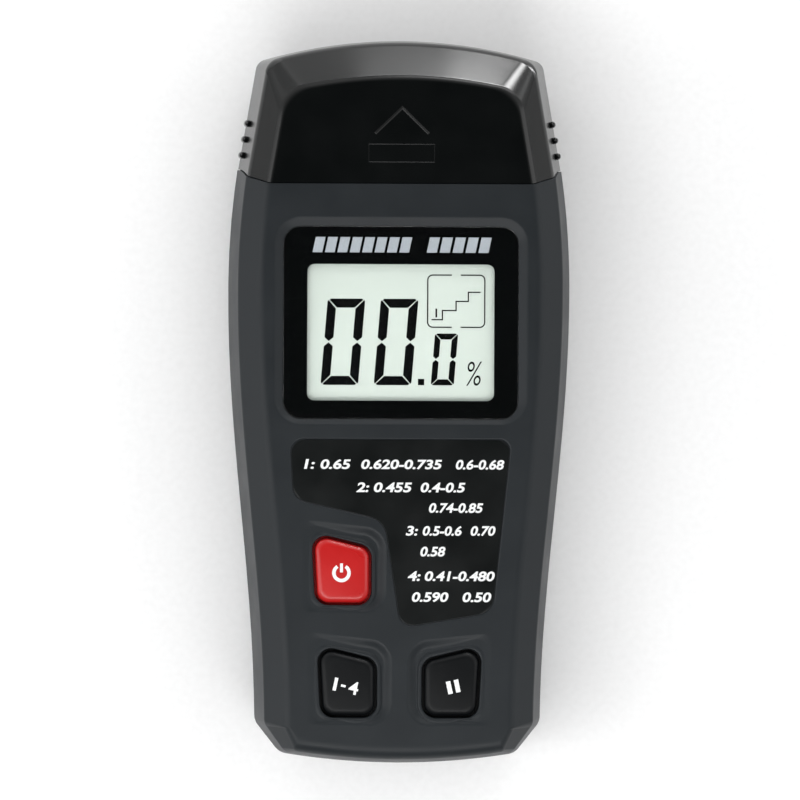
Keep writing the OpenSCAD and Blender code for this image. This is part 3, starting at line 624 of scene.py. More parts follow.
def drawn_metal(name, colour, roughness):
    """Turned or drawn metal: fine lines along Y that smear the highlight."""
    material, tree, surface = shader(name, Metallic=1.0, Roughness=roughness)
    drive(
        tree, surface, texture(tree, 0.2, stretch=(1, 0.02, 1)), Base_Color=(shade_of(colour, 0.82), colour),
        Roughness=(roughness - 0.07, roughness + 0.1), Normal=0.004,
    )
    return material


def solder_mask():
    """Green solder mask over copper tracks: straight lighter lines about a millimetre apart."""
    material, tree, surface = shader("Green solder mask on laminate", Roughness=0.3)
    where = add_node(tree, "ShaderNodeTexCoord").outputs["Object"]
    tracks = add_node(
        tree, "ShaderNodeTexBrick", {"offset": 0.37}, Vector=where, Scale=1.0, Color1=linear("#1f6b3a"),
        Color2=linear("#1a5f33"), Mortar=linear("#2f8a4d"), Mortar_Size=0.2 * MM, Brick_Width=7 * MM,
        Row_Height=1.3 * MM,
    )
    tree.links.new(tracks.outputs[0], surface.inputs["Base Color"])
    drive(tree, surface, tracks.outputs[1], Normal=0.02)
    return material


def open_foam():
    """Open-cell polyurethane foam: dark cells about half a millimetre wide."""
    material, tree, surface = shader("Open-cell grey foam", Roughness=0.95)
    cells = texture(tree, 0.5, "ShaderNodeTexVoronoi", Detail=2.0)
    drive(tree, surface, cells, (0.1, 0.6), Base_Color=(linear("#2b2b2e"), linear("#66666b")), Normal=0.15)
    return material


def battery_jacket():
    """Printed steel jacket: a copper-coloured band towards the terminals over black, with a satin lacquer."""
    material, tree, surface = shader("Lacquered steel battery jacket", Roughness=0.32, Metallic=0.6)
    where = add_node(tree, "ShaderNodeTexCoord").outputs["Object"]
    along = add_node(tree, "ShaderNodeSeparateXYZ", Vector=where).outputs["Y"]
    low, high = node_box("battery")
    band = (high[1] - 0.34 * (high[1] - low[1])) * MM
    edge = add_node(tree, "ShaderNodeMapRange", Value=along, From_Min=band, From_Max=band + 0.1 * MM)
    drive(tree, surface, edge.outputs[0], (0, 1), Base_Color=(linear("#141414"), linear("#b8793a")))
    drive(tree, surface, texture(tree, 3.0, Detail=3.0), Roughness=(0.26, 0.4))
    return material


# ---------------------------------------------------------------- case


def key_outline(d=0.0):
    """Key seen from the front, grown by d: a quad whose top falls towards the middle of the case."""
    w, h = KEY_W / 2, KEY_H / 2
    return grown([[-w + KEY_LEAN, -h], [w, -h], [w, h - KEY_SLANT], [-w, h]], d)


def at_key(name, points):
    """Moves a left-hand key's points to their place, mirrored for a key on the right."""
    (x, y), side = KEYS[name]
    moved = np.asarray(points, float) * ([side, 1, 1] if np.shape(points)[-1] == 3 else [side, 1])
    moved[..., 0] += x
    moved[..., 1] += y
    return moved if side > 0 else moved[..., ::-1, :]


# Key pocket: how far it reaches round the key, its corners, the slope of its floor, the width of its
# S-shaped wall, and the lip round the key's opening
POCKET_REACH = np.array([[-2.6, -1.7], [3.2, -2.0], [3.2, 1.2], [-2.6, 2.9]])
POCKET_RADII = [1.6, 4.2, 4.4, 1.6]
POCKET_TILT = math.tan(math.radians(3.4))
POCKET_WALL = 1.9
LIP_H = 0.3
LIP_TOP = 0.55
LIP_FOOT = 0.5
LIP_EDGE = 0.35


def pocket_rings(steps=10, between=10):
    """Scooped pocket round a key. Rings run from its rim to the key's opening. The floor drops evenly
    towards the middle of the case, an S-curve leads from the rim down to it, and a rounded lip, highest
    where the floor is deep, stands round the opening."""
    w, h = KEY_W / 2, KEY_H / 2
    rim = rounded(rectangle(-w, -h, w, h) + POCKET_REACH, POCKET_RADII, steps, between)
    mouth = rounded(key_outline(KEY_GAP), KEY_R + KEY_GAP, steps, between)
    t = np.linspace(0, 1, 34)[:, None, None]
    xy = rim + (mouth - rim) * t
    from_rim = np.linalg.norm(xy - rim, axis=-1)
    from_mouth = np.linalg.norm(xy - mouth, axis=-1)
    drop = POCKET_TILT * np.maximum(0, xy[..., 0] + w + 2.2)
    wall = smooth(np.clip(from_rim / POCKET_WALL, 0, 1))
    edge = np.sqrt(1 - (1 - np.clip(from_mouth / LIP_EDGE, 0, 1)) ** 2) - 1
    foot = smooth(np.clip((from_mouth - LIP_TOP) / LIP_FOOT, 0, 1))
    height = np.minimum(LIP_H, 0.6 * drop)
    z = CASE_T - drop * wall + height * (1 - foot) + LIP_H * edge
    return rim, np.dstack([xy, z]), mouth


def label_outline(d=0.0):
    """Wood group label, grown by d: an L with slanted feet, which keeps clear of the lens and the keys."""
    top = LENS_LOW[1] - LABEL_MARGIN
    power_top = KEYS["power"][0][1] + KEY_H / 2
    foot = KEYS["mode"][0][1] + KEY_H / 2 + LABEL_MARGIN
    arm = [[LABEL_LEFT + 0.6, top - 10.6], [LABEL_INNER - 2.6, power_top + 2.7]]
    leg = [[LABEL_INNER + 0.3, foot - 0.2], [LABEL_RIGHT - 3.2, foot + 2.6]]
    return grown([*arm, *leg, [LABEL_RIGHT, top], [LABEL_LEFT, top]], d)


def quarter(d0, z0, d1, z1, steps=6):
    """Quarter of an ellipse from a level start at (d0, z0) to a steep end at (d1, z1)."""
    t = np.linspace(0, np.pi / 2, steps + 1)
    return np.column_stack([d0 + (d1 - d0) * np.sin(t), z0 + (z1 - z0) * (1 - np.cos(t))])


def prism(name, section, axis, ends):
    """Solid of a section carried along an axis from one end to the other."""
    shape = Shape().add([np.insert(section, axis, end, axis=1) for end in ends], ring_faces(2, len(section)))
    xy, tri = fill([section])
    for end in ends:
        shape.add(np.insert(xy, axis, end, axis=1), tri)
    return shape.mesh(name)


def seam_tool(name, above, gap=0.0):
    """Solid on one side of the arched seam: a cylinder's arc in Y and Z, carried along X."""
    z = np.linspace(-4, CASE_T + 4, 73)
    arc = SEAM_CENTRE_Y + np.sqrt((SEAM_R + gap) ** 2 - (z - PART_Z) ** 2)
    far = TOP_Y + 6 if above else SEAM_Y - 14
    section = np.concatenate([np.column_stack([arc, z]), [[far, z[-1]], [far, z[0]]]])
    return prism(name, section, 0, (-HALF_W - 6, HALF_W + 6))


def neck_tool(name):
    """Opening in the shoulder that the neck of the electrode block stands in."""
    low, high = node_box("pin_block")
    half_w = high[0] - NECK_STEP + NECK_GAP
    half_t = (high[2] - low[2]) / 2 - NECK_STEP + NECK_GAP
    section = rounded(rectangle(-half_w, PART_Z - half_t, half_w, PART_Z + half_t), NECK_R)
    return prism(name, section, 1, (CAVITY_END_Y - 3, TOP_Y))


def post(x, y, r, bore, z0, z1, sides=40):
    """Hollow round post: an outer and an inner wall with flat ring ends."""
    turn = np.linspace(0, 2 * np.pi, sides, endpoint=False)
    circle = np.column_stack([np.cos(turn), np.sin(turn)])
    walls = [(r, z0), (r, z1), (bore, z1), (bore, z0), (r, z0)]
    return Shape().rings([level(circle * q + [x, y], z) for q, z in walls]).mesh("post")


def screw_places(node):
    """Centres of the screws in a node, one for each corner."""
    low, high = node_box(node)
    points = np.array([v.co for v in frame["nodes"][node].data.vertices]) / MM
    half = (high[1] + low[1]) / 2
    places = []
    for upper in (False, True):
        group = points[(points[:, 0] > 0) & ((points[:, 1] > half) == upper)]
        x, y = (group[:, :2].min(0) + group[:, :2].max(0)) / 2
        places += [(x, y), (-x, y)]
    return places


def break_seam(piece, size):
    """Breaks the outer edges where the arched seam was cut. Both ends of such an edge lie on the seam's
    cylinder, and the face beside the cut looks away from the middle of the case."""
    work = bmesh.new()
    work.from_mesh(piece.data)
    points = np.array([v.co for v in work.verts]) / MM
    on_seam = np.abs(np.hypot(points[:, 1] - SEAM_CENTRE_Y, points[:, 2] - PART_Z) - SEAM_R) < 0.01
    edges = []
    for e in work.edges:
        if on_seam[e.verts[0].index] and on_seam[e.verts[1].index] and e.is_manifold:
            beside = min(e.link_faces, key=lambda f: abs(f.normal.y))
            out = beside.normal.x * e.verts[0].co.x + beside.normal.z * (e.verts[0].co.z - PART_Z * MM)
            if out > 0 and e.calc_face_angle(0) > math.radians(50):
                edges.append(e)
    bmesh.ops.bevel(
        work, geom=edges, offset=size * MM, segments=2, profile=0.5, affect="EDGES", clamp_overlap=True
    )
    work.to_mesh(piece.data)
    work.free()


# How far a tool or an opening runs through the front plate
THROUGH = 1.5
# Copies of CAD nodes: how near two corners are joined, and the angle from which an edge is sharp
COPY_WELD = 0.002
COPY_ANGLE = 30


def display_recess(shape):
    """Recess of the display, down to the window in the plate. Its bevel starts as a parabola over the first
    quarter and runs on straight. Returns its rim."""
    lens = rectangle(*LENS_LOW[:2], *LENS_HIGH[:2])
    reach = rectangle(-RECESS_SIDE, -RECESS_FOOT, RECESS_SIDE, RECESS_SIDE)
    t = np.linspace(0, 1, 9)
    depth = np.where(t < 0.25, t * t / 0.5, t - 0.125) / 0.875
    steps = []
    for d, z in zip(1 - t, CASE_T - (CASE_T - LENS_HIGH[2]) * depth):
        corners = lens + reach * d + np.sign(reach) * LENS_GAP
        steps.append(level(rounded(corners, LENS_R + RECESS_SIDE * d, 12, 6), z))
    bed = rounded(grown(lens, LENS_GAP), LENS_R, 12, 6)
    window = rounded(rectangle(*(WINDOW[:2] - WINDOW_RIM), *(WINDOW[2:] + WINDOW_RIM)), WINDOW_R, 12, 6)
    steps += [level(bed, z) for z in (LENS_HIGH[2] - 0.02, MASK_LOW[2])]
    steps += [level(window, z) for z in (MASK_LOW[2], PLATE_Z - THROUGH)]
    shape.rings(steps[::-1], (True, False))
    return steps[0][:, :2]


def label_recess(shape):
    """Shallow recess of the label, with a rounded rim. Returns the rim."""
    fall = np.concatenate([quarter(0.32, CASE_T, 0.04, CASE_T - 0.16), [[0, CASE_T - LABEL_DROP]]])
    rings = []
    for d, z in fall:
        radii = LABEL_RADII - [0, d, 0, 0, 0, 0]
        rings.append(level(rounded(label_outline(LABEL_GAP + d), radii, 12), z))
    shape.rings(rings[::-1], (True, False))
    return rings[0][:, :2]


def build_front(case):
    """Front shell. Its profiles hold inset and height along the sides and at the foot. Rings of the side wall
    and bevel rise to a flat face. The recesses and key pockets are set into it, and the inside, the seam and
    the shoulder's opening are cut out."""
    bevel_r, face_r = case.bevel_edge / MM, case.face_edge / MM
    side = profile(
        [[SEAM_V, PART_Z], [0, PART_Z + SEAM_V], [1.55, CASE_T - 3.7], [5.5, CASE_T], [6.6, CASE_T]],
        [0.06, bevel_r, face_r],
    )
    end = profile(
        [[SEAM_V, PART_Z], [0, PART_Z + SEAM_V], [0.35, CASE_T - 5.6], [1.0, CASE_T], [3.4, CASE_T]],
        [0.06, 6.0, 2.2],
    )
    rings = body_rings(side, end, SEAM_Y + 5)
    shape = Shape().rings(rings, (True, False))
    holes = [display_recess(shape), label_recess(shape)]
    rim, pocket, mouth = pocket_rings()
    well = [level(mouth, z) for z in (PLATE_Z + 0.4, PLATE_Z - THROUGH)]
    for name in KEYS:
        rings_in = np.array([at_key(name, r) for r in [*pocket, *well]])
        shape.rings(rings_in[::-1], (True, False))
        holes.append(at_key(name, rim))
    shape.flat([rings[-1][:, :2], *holes], CASE_T)
    shell = shape.mesh("case_front", tidy=True)
    inner_side = profile([[WALL, PART_Z - 1], [WALL + 1.4, CASE_T - 5], [WALL + 4.6, PLATE_Z]], [1.0])
    inner_end = profile([[WALL, PART_Z - 1], [WALL + 0.5, CASE_T - 5], [WALL + 1.6, PLATE_Z]], [1.0])
    hollow = Shape().rings(body_rings(inner_side, inner_end, CAVITY_END_Y, 24), (True, True)).mesh("hollow")
    combine(shell, [hollow, seam_tool("seam", True), neck_tool("neck")])
    break_seam(shell, 0.16)
    board_top, plate = node_box("main_board")[1][2], PLATE_Z + 0.2
    posts = [post(*at, *CASE_POST, PART_Z, plate) for at in screw_places("case_screws")]
    posts += [post(*at, *BOARD_POST, board_top, plate) for at in screw_places("board_screws")]
    return soften(join(shell, posts))


def rounded_copy(node, name, width_mm=0.12):
    """Copy of a CAD node with its loose triangles joined and its sharp edges broken by a small bevel."""
    mesh = frame["nodes"][node].data.copy()
    work = bmesh.new()
    work.from_mesh(mesh)
    bmesh.ops.remove_doubles(work, verts=work.verts, dist=COPY_WELD * MM)
    work.to_mesh(mesh)
    work.free()
    piece = place(name, mesh)
    if width_mm:
        edge = piece.modifiers.new("Broken edges", "BEVEL")
        edge.width = width_mm * MM
        edge.segments = 2
        edge.limit_method = "ANGLE"
        edge.angle_limit = math.radians(COPY_ANGLE)
        edge.use_clamp_overlap = True
        apply_modifiers(piece)
    return soften(piece, COPY_ANGLE)


def groove(a, b, width=0.55, depth=0.12):
    """V-shaped cutter along a line on the cap's face, with pointed ends: its section narrows downwards."""
    a, b = np.array(a, float), np.array(b, float)
    along = unit(b - a)
    across = np.array([-along[1], along[0]])
    a, b = a - along * width / 2, b + along * width / 2
    rings = []
    for share, z in ((0.08, CASE_T - depth), (1.0, CASE_T + 0.02), (1.0, CASE_T + 0.6)):
        half = across * width / 2 * share
        near, far = a + along * width / 2 * (1 - share), b - along * width / 2 * (1 - share)
        rings.append(level([near - half, far - half, far + half, near + half], z))
    return Shape().rings(rings, (True, True)).mesh("groove")


def grip_rib(y, side):
    """Grip rib on the cap's side: a thin upright rod with round ends. Its radius follows the square root of
    one minus the eighth power of the height, so that it stays even along most of its length."""
    up = np.linspace(-1, 1, 21)[:, None]
    turn = np.linspace(0, 2 * np.pi, 20, endpoint=False)
    r = 0.62 * np.sqrt(np.maximum(1e-4, 1 - up**8))
    x = side * (cap_side_x(y) - 0.18) + 0.95 * r * np.cos(turn)
    rings = np.dstack([x, y + r * np.sin(turn), PART_Z + 3.8 * up + 0 * turn])
    return Shape().rings(rings, (True, True)).mesh("rib", angle=60)


def build_cap():
    """Pin cap. Its profiles hold inset and height along the sides and at the end, and so do the bore's, a
    wall further in. Rings run from its back to its face, with a wide bevel over the pins. The engraved arrow,
    the bore and the seam are cut out, and the grip ribs stand on its sides."""
    side = profile(
        [[7.0, 0], [2.35, 0.0], [0, PART_Z], [1.75, CASE_T - 3.9], [5.75, CASE_T], [8.0, CASE_T]],
        [3.4, 2.0, 2.4, 2.0],
    )
    end = profile(
        [[9.0, 0], [3.6, 0.0], [0, PART_Z], [0.4, CASE_T - 6.9], [6.75, CASE_T], [8.6, CASE_T]],
        [6.0, 3.0, 3.0, 1.8],
    )
    cap = Shape().rings(cap_rings(side, end, SEAM_Y - 3), (True, True)).mesh("pin_cover")
    w = CAP_WALL
    bore_side = profile(
        [[5.6 + w / 2, w], [2.2 + w, 2.6], [w, PART_Z], [1.9 + w, CASE_T - 4.6], [5.2 + w / 2, CASE_T - w]],
        [2, 2, 1.2],
    )
    bore_end = profile(
        [[7.6 + w / 2, w], [2.9 + w, 3.2], [w, PART_Z], [1.3 + w, CASE_T - 6.6], [6.4 + w, CASE_T - w]],
        [3, 2, 1.2],
    )
    bore = Shape().rings(cap_rings(bore_side, bore_end, SEAM_Y - 4, 12), (True, True)).mesh("bore")
    y = SEAM_Y + 3.9
    tip, left, right = (0.1, y + 9.8), (-4.6, y + 5.3), (4.7, y + 5.3)
    bar = rectangle(-5.9, y, 5.9, y + 3.2)
    lines = [groove(left, tip), groove(tip, right)]
    lines += [groove(bar[i], bar[(i + 1) % 4], 0.25, 0.012) for i in range(4)]
    combine(cap, lines)
    combine(cap, [bore, seam_tool("seam", False, CAP_SEAM_GAP)])
    ribs = [grip_rib(SEAM_Y + 5.2 + 2.85 * k, s) for k in range(3) for s in (-1, 1)]
    return soften(join(cap, ribs), 13)


# ---------------------------------------------------------------- keys


def key_height(x, y):
    """Height of a key's crowned top: an elliptic dome."""
    return CASE_T + KEY_CROWN - KEY_DOME * ((x / (KEY_W / 2)) ** 2 + (y / (KEY_H / 2)) ** 2)


def build_key(name):
    """Key cap: a flange that keeps it in, a straight wall, a rounded edge and a crowned top. Rings follow
    the key's outline, then shrink to its middle over the dome."""

    def outline(d, r):
        return rounded(key_outline(d), max(0.5, KEY_R + r), 10, 8)

    flange, wall = outline(FLANGE_RIM, FLANGE_RIM), outline(0, 0)
    shoulder = FLANGE_Z + FLANGE_T
    rings = [level(flange, FLANGE_Z), level(flange, shoulder), level(wall, shoulder)]
    rings.append(level(outline(-KEY_DRAFT, -KEY_DRAFT), CASE_T - 0.75))
    for turn in np.linspace(0.15, 1, 8) * np.pi / 2:
        d = KEY_EDGE * (1 - np.cos(turn))
        ring = outline(-KEY_DRAFT - d, -d * 0.5)
        rings.append(level(ring, key_height(*ring.T) - KEY_EDGE * (1 - np.sin(turn))))
    for share in np.linspace(1, 0.06, 14)[1:]:
        rings.append(level(ring * share, key_height(*ring.T * share)))
    cap = Shape().rings([at_key(name, r) for r in rings], (True, True)).mesh(name + "_key_cap")
    stem = post(*KEYS[name][0], STEM_R, 0.01, node_box(name + "_dome")[1][2], FLANGE_Z + 0.05)
    return soften(join(cap, [stem]))


def printed(shape, name, key):
    """Ink plate that follows a key's crowned top. The shape holds flat outlines round the key's middle."""
    piece = shape.mesh(name)
    points = np.array([v.co for v in piece.data.vertices]) / MM
    points[:, 2] = key_height(*points[:, :2].T) + INK_GAP + np.where(points[:, 2] > 0.5, INK_T, 0)
    moved = points + [*KEYS[key][0], 0]
    piece.data.vertices.foreach_set("co", (moved * MM).ravel())
    piece.data.update()
    return piece


def stroke(shape, points, width, z0=0.0, z1=1.0):
    """Line of a constant width through points, with mitred corners: each side is the path moved along the
    corner's two edge normals."""
    p = np.asarray(points, float)
    step = unit(np.diff(p, axis=0))
    normal = step[:, ::-1] * [-1, 1]
    first, last = np.vstack([normal[:1], normal]), np.vstack([normal, normal[-1:]])
    reach = (first + last) / (1 + (first * last).sum(1, keepdims=True)) * width / 2
    count = len(p)
    ring = np.concatenate([p - reach, (p + reach)[::-1]])
    i = np.arange(count - 1)
    j = 2 * count - 1 - i
    top = np.stack([i, i + 1, j - 1, j], 1)
    faces = np.concatenate([top[:, ::-1], top + 2 * count, ring_faces(2, 2 * count)])
    return shape.add([level(ring, z) for z in (z0, z1)], faces)


def arc_points(radius, start, end, steps, centre):
    """Points on a circle between two angles in degrees."""
    turn = np.radians(np.linspace(start, end, steps + 1))
    return np.column_stack([np.cos(turn), np.sin(turn)]) * radius + centre


def turned(points, degrees, centre):
    """Points turned about the origin, then moved to a centre."""
    c, s = math.cos(math.radians(degrees)), math.sin(math.radians(degrees))
    return np.asarray(points, float) @ np.array([[c, s], [-s, c]]) + centre


def power_symbol():
    """Open ring with a bar in its gap."""
    shape = Shape()
    middle = (0.0, -0.75)
    stroke(shape, arc_points(1.36, 122, 418, 30, middle), 0.62)
    stroke(shape, np.add([[0, 0.1], [0, 1.72]], middle), 0.52)
    return shape


def group_symbol():
    """The range of the wood groups that the key steps through."""
    shape = Shape()
    runs = (("1", -2.35, -1.75, 0, 2.35), ("-", -1.05, -0.2, 0.95, 0.42), ("4", 0.35, 2.1, 0, 2.35))
    for text, x0, x1, low, height in runs:
        slope = 0.21 * (x0 + x1) / 2
        numerals(shape, text, x0, x1, low - 2.1 - slope, height, 1.0, 0, 0.02, -12)
    return shape


def pause_symbol():
    """Two upright bars."""
    shape = Shape()
    for x in (-0.72, 0.72):
        stroke(shape, turned([[x, -1.15], [x, 1.15]], 12, (0.2, -0.9)), 0.82)
    return shape


# ---------------------------------------------------------------- display and prints


def segments(height, width, bar, gap, slant):
    """Outlines of the six lit segments of a seven-segment nought, mitred with a gap between them."""
    h, w, t, g = height, width, bar, gap / 2
    s = math.sqrt(2) * g
    top = np.array([
        [s + 0.25 * t, h], [w - s - 0.25 * t, h], [w - s - 0.12 * t, h - 0.16 * t],
        [w - t - 0.9 * s, h - t], [t + 0.9 * s, h - t], [s + 0.12 * t, h - 0.16 * t],
    ])
    mid = h / 2
    left = np.array([
        [0, h - s - 0.2 * t], [0.12 * t, h - s - 0.05 * t], [t, h - t - s],
        [t, mid + 0.42 * t + g], [0.5 * t, mid + g], [0, mid + 0.42 * t + g],
    ])
    upper = [top, left, left * [-1, 1] + [w, 0]]
    lower = [outline * [1, -1] + [0, h] for outline in upper]
    lean = math.tan(math.radians(slant))
    return [outline + outline[:, 1:] * [lean, 0] for outline in upper + lower]


def counter_clockwise(outline):
    """The outline, turned round if its signed area is negative."""
    x, y = np.asarray(outline, float).T
    area = (x * np.roll(y, -1) - y * np.roll(x, -1)).sum()
    return outline if area > 0 else outline[::-1]


def glyphs(text, weight):
    """Flat triangles of a short run of numerals, made with Blender's own font and thickened by weight."""
    curve = bpy.data.curves.new("glyphs", "FONT")
    curve.body = text
    curve.offset = weight
    curve.resolution_u = 5
    holder = place("glyphs", curve)
    bpy.context.view_layer.update()
    mesh = evaluated_mesh(holder)
    work = bmesh.new()
    work.from_mesh(mesh)
    bmesh.ops.triangulate(work, faces=work.faces)
    points = np.array([v.co[:2] for v in work.verts])
    faces = np.array([[v.index for v in f.verts] for f in work.faces])
    work.free()
    bpy.data.objects.remove(holder)
    bpy.data.curves.remove(curve)
    bpy.data.meshes.remove(mesh)
    return points - points.min(0), faces


def numerals(shape, text, x0, x1, y, height, z, slant=12.0, weight=0.03, turn=0.0):
    """Adds numerals at height z that fill the space from x0 to x1 on the baseline y. They lean by slant
    degrees, and the whole run turns about its middle."""
    points, faces = glyphs(text, weight)
    lean = math.tan(math.radians(slant))
    size = points.max(0)
    points = points * [(x1 - x0 - height * lean) / size[0], height / size[1]]
    points[:, 0] += points[:, 1] * lean
    middle = [(x1 - x0) / 2, height / 2]
    points = turned(points - middle, turn, np.add(middle, [x0, y]))
    shape.add(level(points, z), faces)


def build_reading(marks):
    """Reading and symbols of the display, as thin dark plates just above the cell."""
    z0 = CELL_HIGH[2] + 0.005
    z1 = z0 + 0.015
    shape = Shape()
    bar, slant, big = marks.bar / MM, marks.slant_degrees, marks.digit_height / MM
    base = WINDOW_Y - 9.45
    for x, height, width, thickness in (
        (-14.35, big, 6.75, bar), (-4.8, big, 6.75, bar), (5.45, big * 0.6, 4.15, bar * 0.66)
    ):
        gap = 0.2 * height / big + 0.04
        for outline in segments(height, width, thickness, gap, slant):
            shape.plate(counter_clockwise(outline + [WINDOW_X + x, base]), z0, z1)
    point_x, point_size = WINDOW_X + 3.15, 1.15
    shape.plate(rectangle(point_x, base, point_x + point_size, base + point_size), z0, z1)

    # Open frame of the bar graph, in two mirrored halves
    left, low, right, high = 4.85, WINDOW_Y + 0.98, 15.1, WINDOW_Y + 10.35
    middle, half_gap, line = (left + right) / 2, 0.8, 0.23
    outline = rounded(rectangle(left, low, right, high), 0.9, 6)
    half = outline[outline[:, 0] > middle][::-1]
    run = np.vstack([[middle + half_gap, high], half, [middle + half_gap, low]])
    for side in (1, -1):
        bracket = (run - [middle, 0]) * [side, 1] + [middle + WINDOW_X, 0]
        stroke(shape, bracket[::side], line, z0, z1)

    # Stairs of the bar graph, whose first tread is a little shorter
    rise, tread, shorter = 1.65, 2.2, 0.25
    stairs = [[0, 0]]
    for k in range(4):
        x = tread * (k + 1) - (0 if k else shorter)
        stairs.append([x, stairs[-1][1]])
        if k < 3:
            stairs.append([x, stairs[-1][1] + rise])
    stroke(shape, np.array(stairs) + [WINDOW_X + left + 0.7, low + 1.35], line, z0, z1)
    numerals(shape, "1", WINDOW_X + 6.25, WINDOW_X + 6.55, low + 1.75, 1.6, z1, 0, 0.0)
    numerals(shape, "%", WINDOW_X + 11.6, WINDOW_X + 14.9, base - 0.05, 4.35, z1, 8, -0.004)
    return shape.mesh("display_reading", tidy=False)


# Rows of the label: how far below its top edge, then where each run starts and ends, and the run
LABEL_ROWS = (
    (
        5.26,
        ((-17.3, -15.2, "1:"), (-14.5, -8.8, "0.65"), (-7.2, 7.6, "0.620-0.735"), (9.8, 18.8, "0.6-0.68")),
    ),
    (9.39, ((-7.9, -5.4, "2:"), (-4.9, 2.2, "0.455"), (3.5, 11.8, "0.4-0.5"))),
    (13.06, ((5.0, 15.0, "0.74-0.85"),)),
    (17.16, ((1.0, 3.4, "3:"), (3.9, 11.3, "0.5-0.6"), (12.5, 17.3, "0.70"))),
    (20.89, ((3.5, 8.3, "0.58"),)),
    (25.3, ((1.3, 3.9, "4:"), (4.3, 17.2, "0.41-0.480"))),
    (29.06, ((2.0, 8.9, "0.590"), (11.1, 16.6, "0.50"))),
)


def build_label_print():
    """Lines of the wood group label: the number of each group, and the densities of its woods."""
    shape = Shape()
    top = label_outline()[-1][1]
    for drop, runs in LABEL_ROWS:
        for x0, x1, text in runs:
            numerals(shape, text, x0, x1, top - drop, 1.78, LABEL_Z + 0.02)
    return shape.mesh("label_print", tidy=False)


def build_lens_title():
    """Silver line above the display window: a row of slanted blocks."""
    z0 = MASK_HIGH[2] + 0.006
    shape = Shape()
    y, height = WINDOW[3] + 2.1, 2.75
    lean = height * math.tan(math.radians(12))
    for x0, x1, count in ((-15.9, 1.9, 8), (4.6, 16.2, 5)):
        step = (x1 - x0) / count
        width = step * 0.78
        for x in x0 + step * np.arange(count):
            corners = [[x, y], [x + width, y], [x + width + lean, y + height], [x + lean, y + height]]
            shape.plate(corners, z0, z0 + 0.012)
    return shape.mesh("lens_title", tidy=False)


def build_lens():
    """Clear lens with softly rounded front edges, just above its black print."""
    outline = rectangle(*LENS_LOW[:2], *LENS_HIGH[:2])
    z0, z1, edge = LENS_LOW[2] + 0.035, LENS_HIGH[2], 0.12
    steps = [(0, z0), *quarter(edge, z1, 0, z1 - edge)[::-1]]
    rings = [level(rounded(grown(outline, -d), LENS_R - 0.1 - d, 12), z) for d, z in steps]
    return soften(Shape().rings(rings, (True, True)).mesh("lens_clear"), 60)


# ---------------------------------------------------------------- settings


class MeterCase(bpy.types.PropertyGroup):
    """Edges of the case."""

    bevel_edge: bpy.props.FloatProperty(
        name="Bevel edge", description="Rounding between the side wall and the bevel",
        default=1.0 * MM, min=0.3 * MM, max=2 * MM, unit="LENGTH", precision=4,
    )
    face_edge: bpy.props.FloatProperty(
        name="Face edge", description="Rounding between the bevel and the front face",
        default=2.2 * MM, min=0.3 * MM, max=4 * MM, unit="LENGTH", precision=4,
    )


class MeterMarks(bpy.types.PropertyGroup):
    """Marks on the display."""

    digit_height: bpy.props.FloatProperty(
        name="Digit height", description="Height of the two large digits",
        default=15.5 * MM, unit="LENGTH", precision=4,
    )
    bar: bpy.props.FloatProperty(
        name="Bar", description="Thickness of a segment of the large digits",
        default=1.62 * MM, unit="LENGTH", precision=4,
    )
    slant_degrees: bpy.props.FloatProperty(
        name="Slant", description="Lean of the digits in degrees", default=4.6, min=0, max=15
    )


class MeterColours(bpy.types.PropertyGroup):
    """Colours of the finishes."""

    case: bpy.props.FloatVectorProperty(
        name="Case", description="Colour of both case shells", subtype="COLOR", default=linear("#1e2225")
    )
    cap: bpy.props.FloatVectorProperty(
        name="Pin cap", description="Colour of the pin cap", subtype="COLOR", default=linear("#080a0a")
    )
    label: bpy.props.FloatVectorProperty(
        name="Label", description="Colour of the wood group label", subtype="COLOR", default=linear("#070a0a")
    )
    display: bpy.props.FloatVectorProperty(
        name="Display", description="Colour of the display's background", subtype="COLOR",
        default=linear("#d0d8d1"),
    )
    red_key: bpy.props.FloatVectorProperty(
        name="Power key", description="Colour of the power key", subtype="COLOR", default=linear("#b21717")
    )
    black_key: bpy.props.FloatVectorProperty(
        name="Black keys", description="Colour of the two lower keys", subtype="COLOR",
        default=linear("#050709"),
    )


class MeterStage(bpy.types.PropertyGroup):
    """Camera and light."""

    azimuth: bpy.props.FloatProperty(
        name="Turn", description="How far the camera stands to the left", default=math.radians(1.7),
        subtype="ANGLE",
    )
    roll: bpy.props.FloatProperty(
        name="Roll", description="Turn of the camera about its own axis", default=math.radians(0.25),
        subtype="ANGLE",
    )
    lens_mm: bpy.props.FloatProperty(name="Lens", description="Focal length in millimetres", default=800)
    distance: bpy.props.FloatProperty(
        name="Distance", description="From the camera to the meter", default=3.204, unit="LENGTH"
    )
    light: bpy.props.FloatProperty(name="Light", description="Strength of all the lamps", default=1.0)


# ---------------------------------------------------------------- operators


class METER_OT_front(bpy.types.Operator):
    """Build the front shell"""

    bl_idname = "meter.front"
    bl_label = "Front shell"

    def execute(self, context):
        shell = build_front(context.scene.meter_case)
        finish(shell, "case", "case_plastic", MATERIALS["case"], "front_shell")
        return {"FINISHED"}


class METER_OT_rear(bpy.types.Operator):
    """Build the rear shell and the battery door"""

    bl_idname = "meter.rear"
    bl_label = "Rear shell and door"

    def execute(self, context):
        shell = rounded_copy("rear_shell", "case_rear", 0)
        finish(shell, "case", "case_plastic", MATERIALS["case"], "rear_shell")
        door = rounded_copy("battery_door", "door_panel", 0)
        finish(door, "door", "door_plastic", MATERIALS["case"], "battery_door")
        return {"FINISHED"}


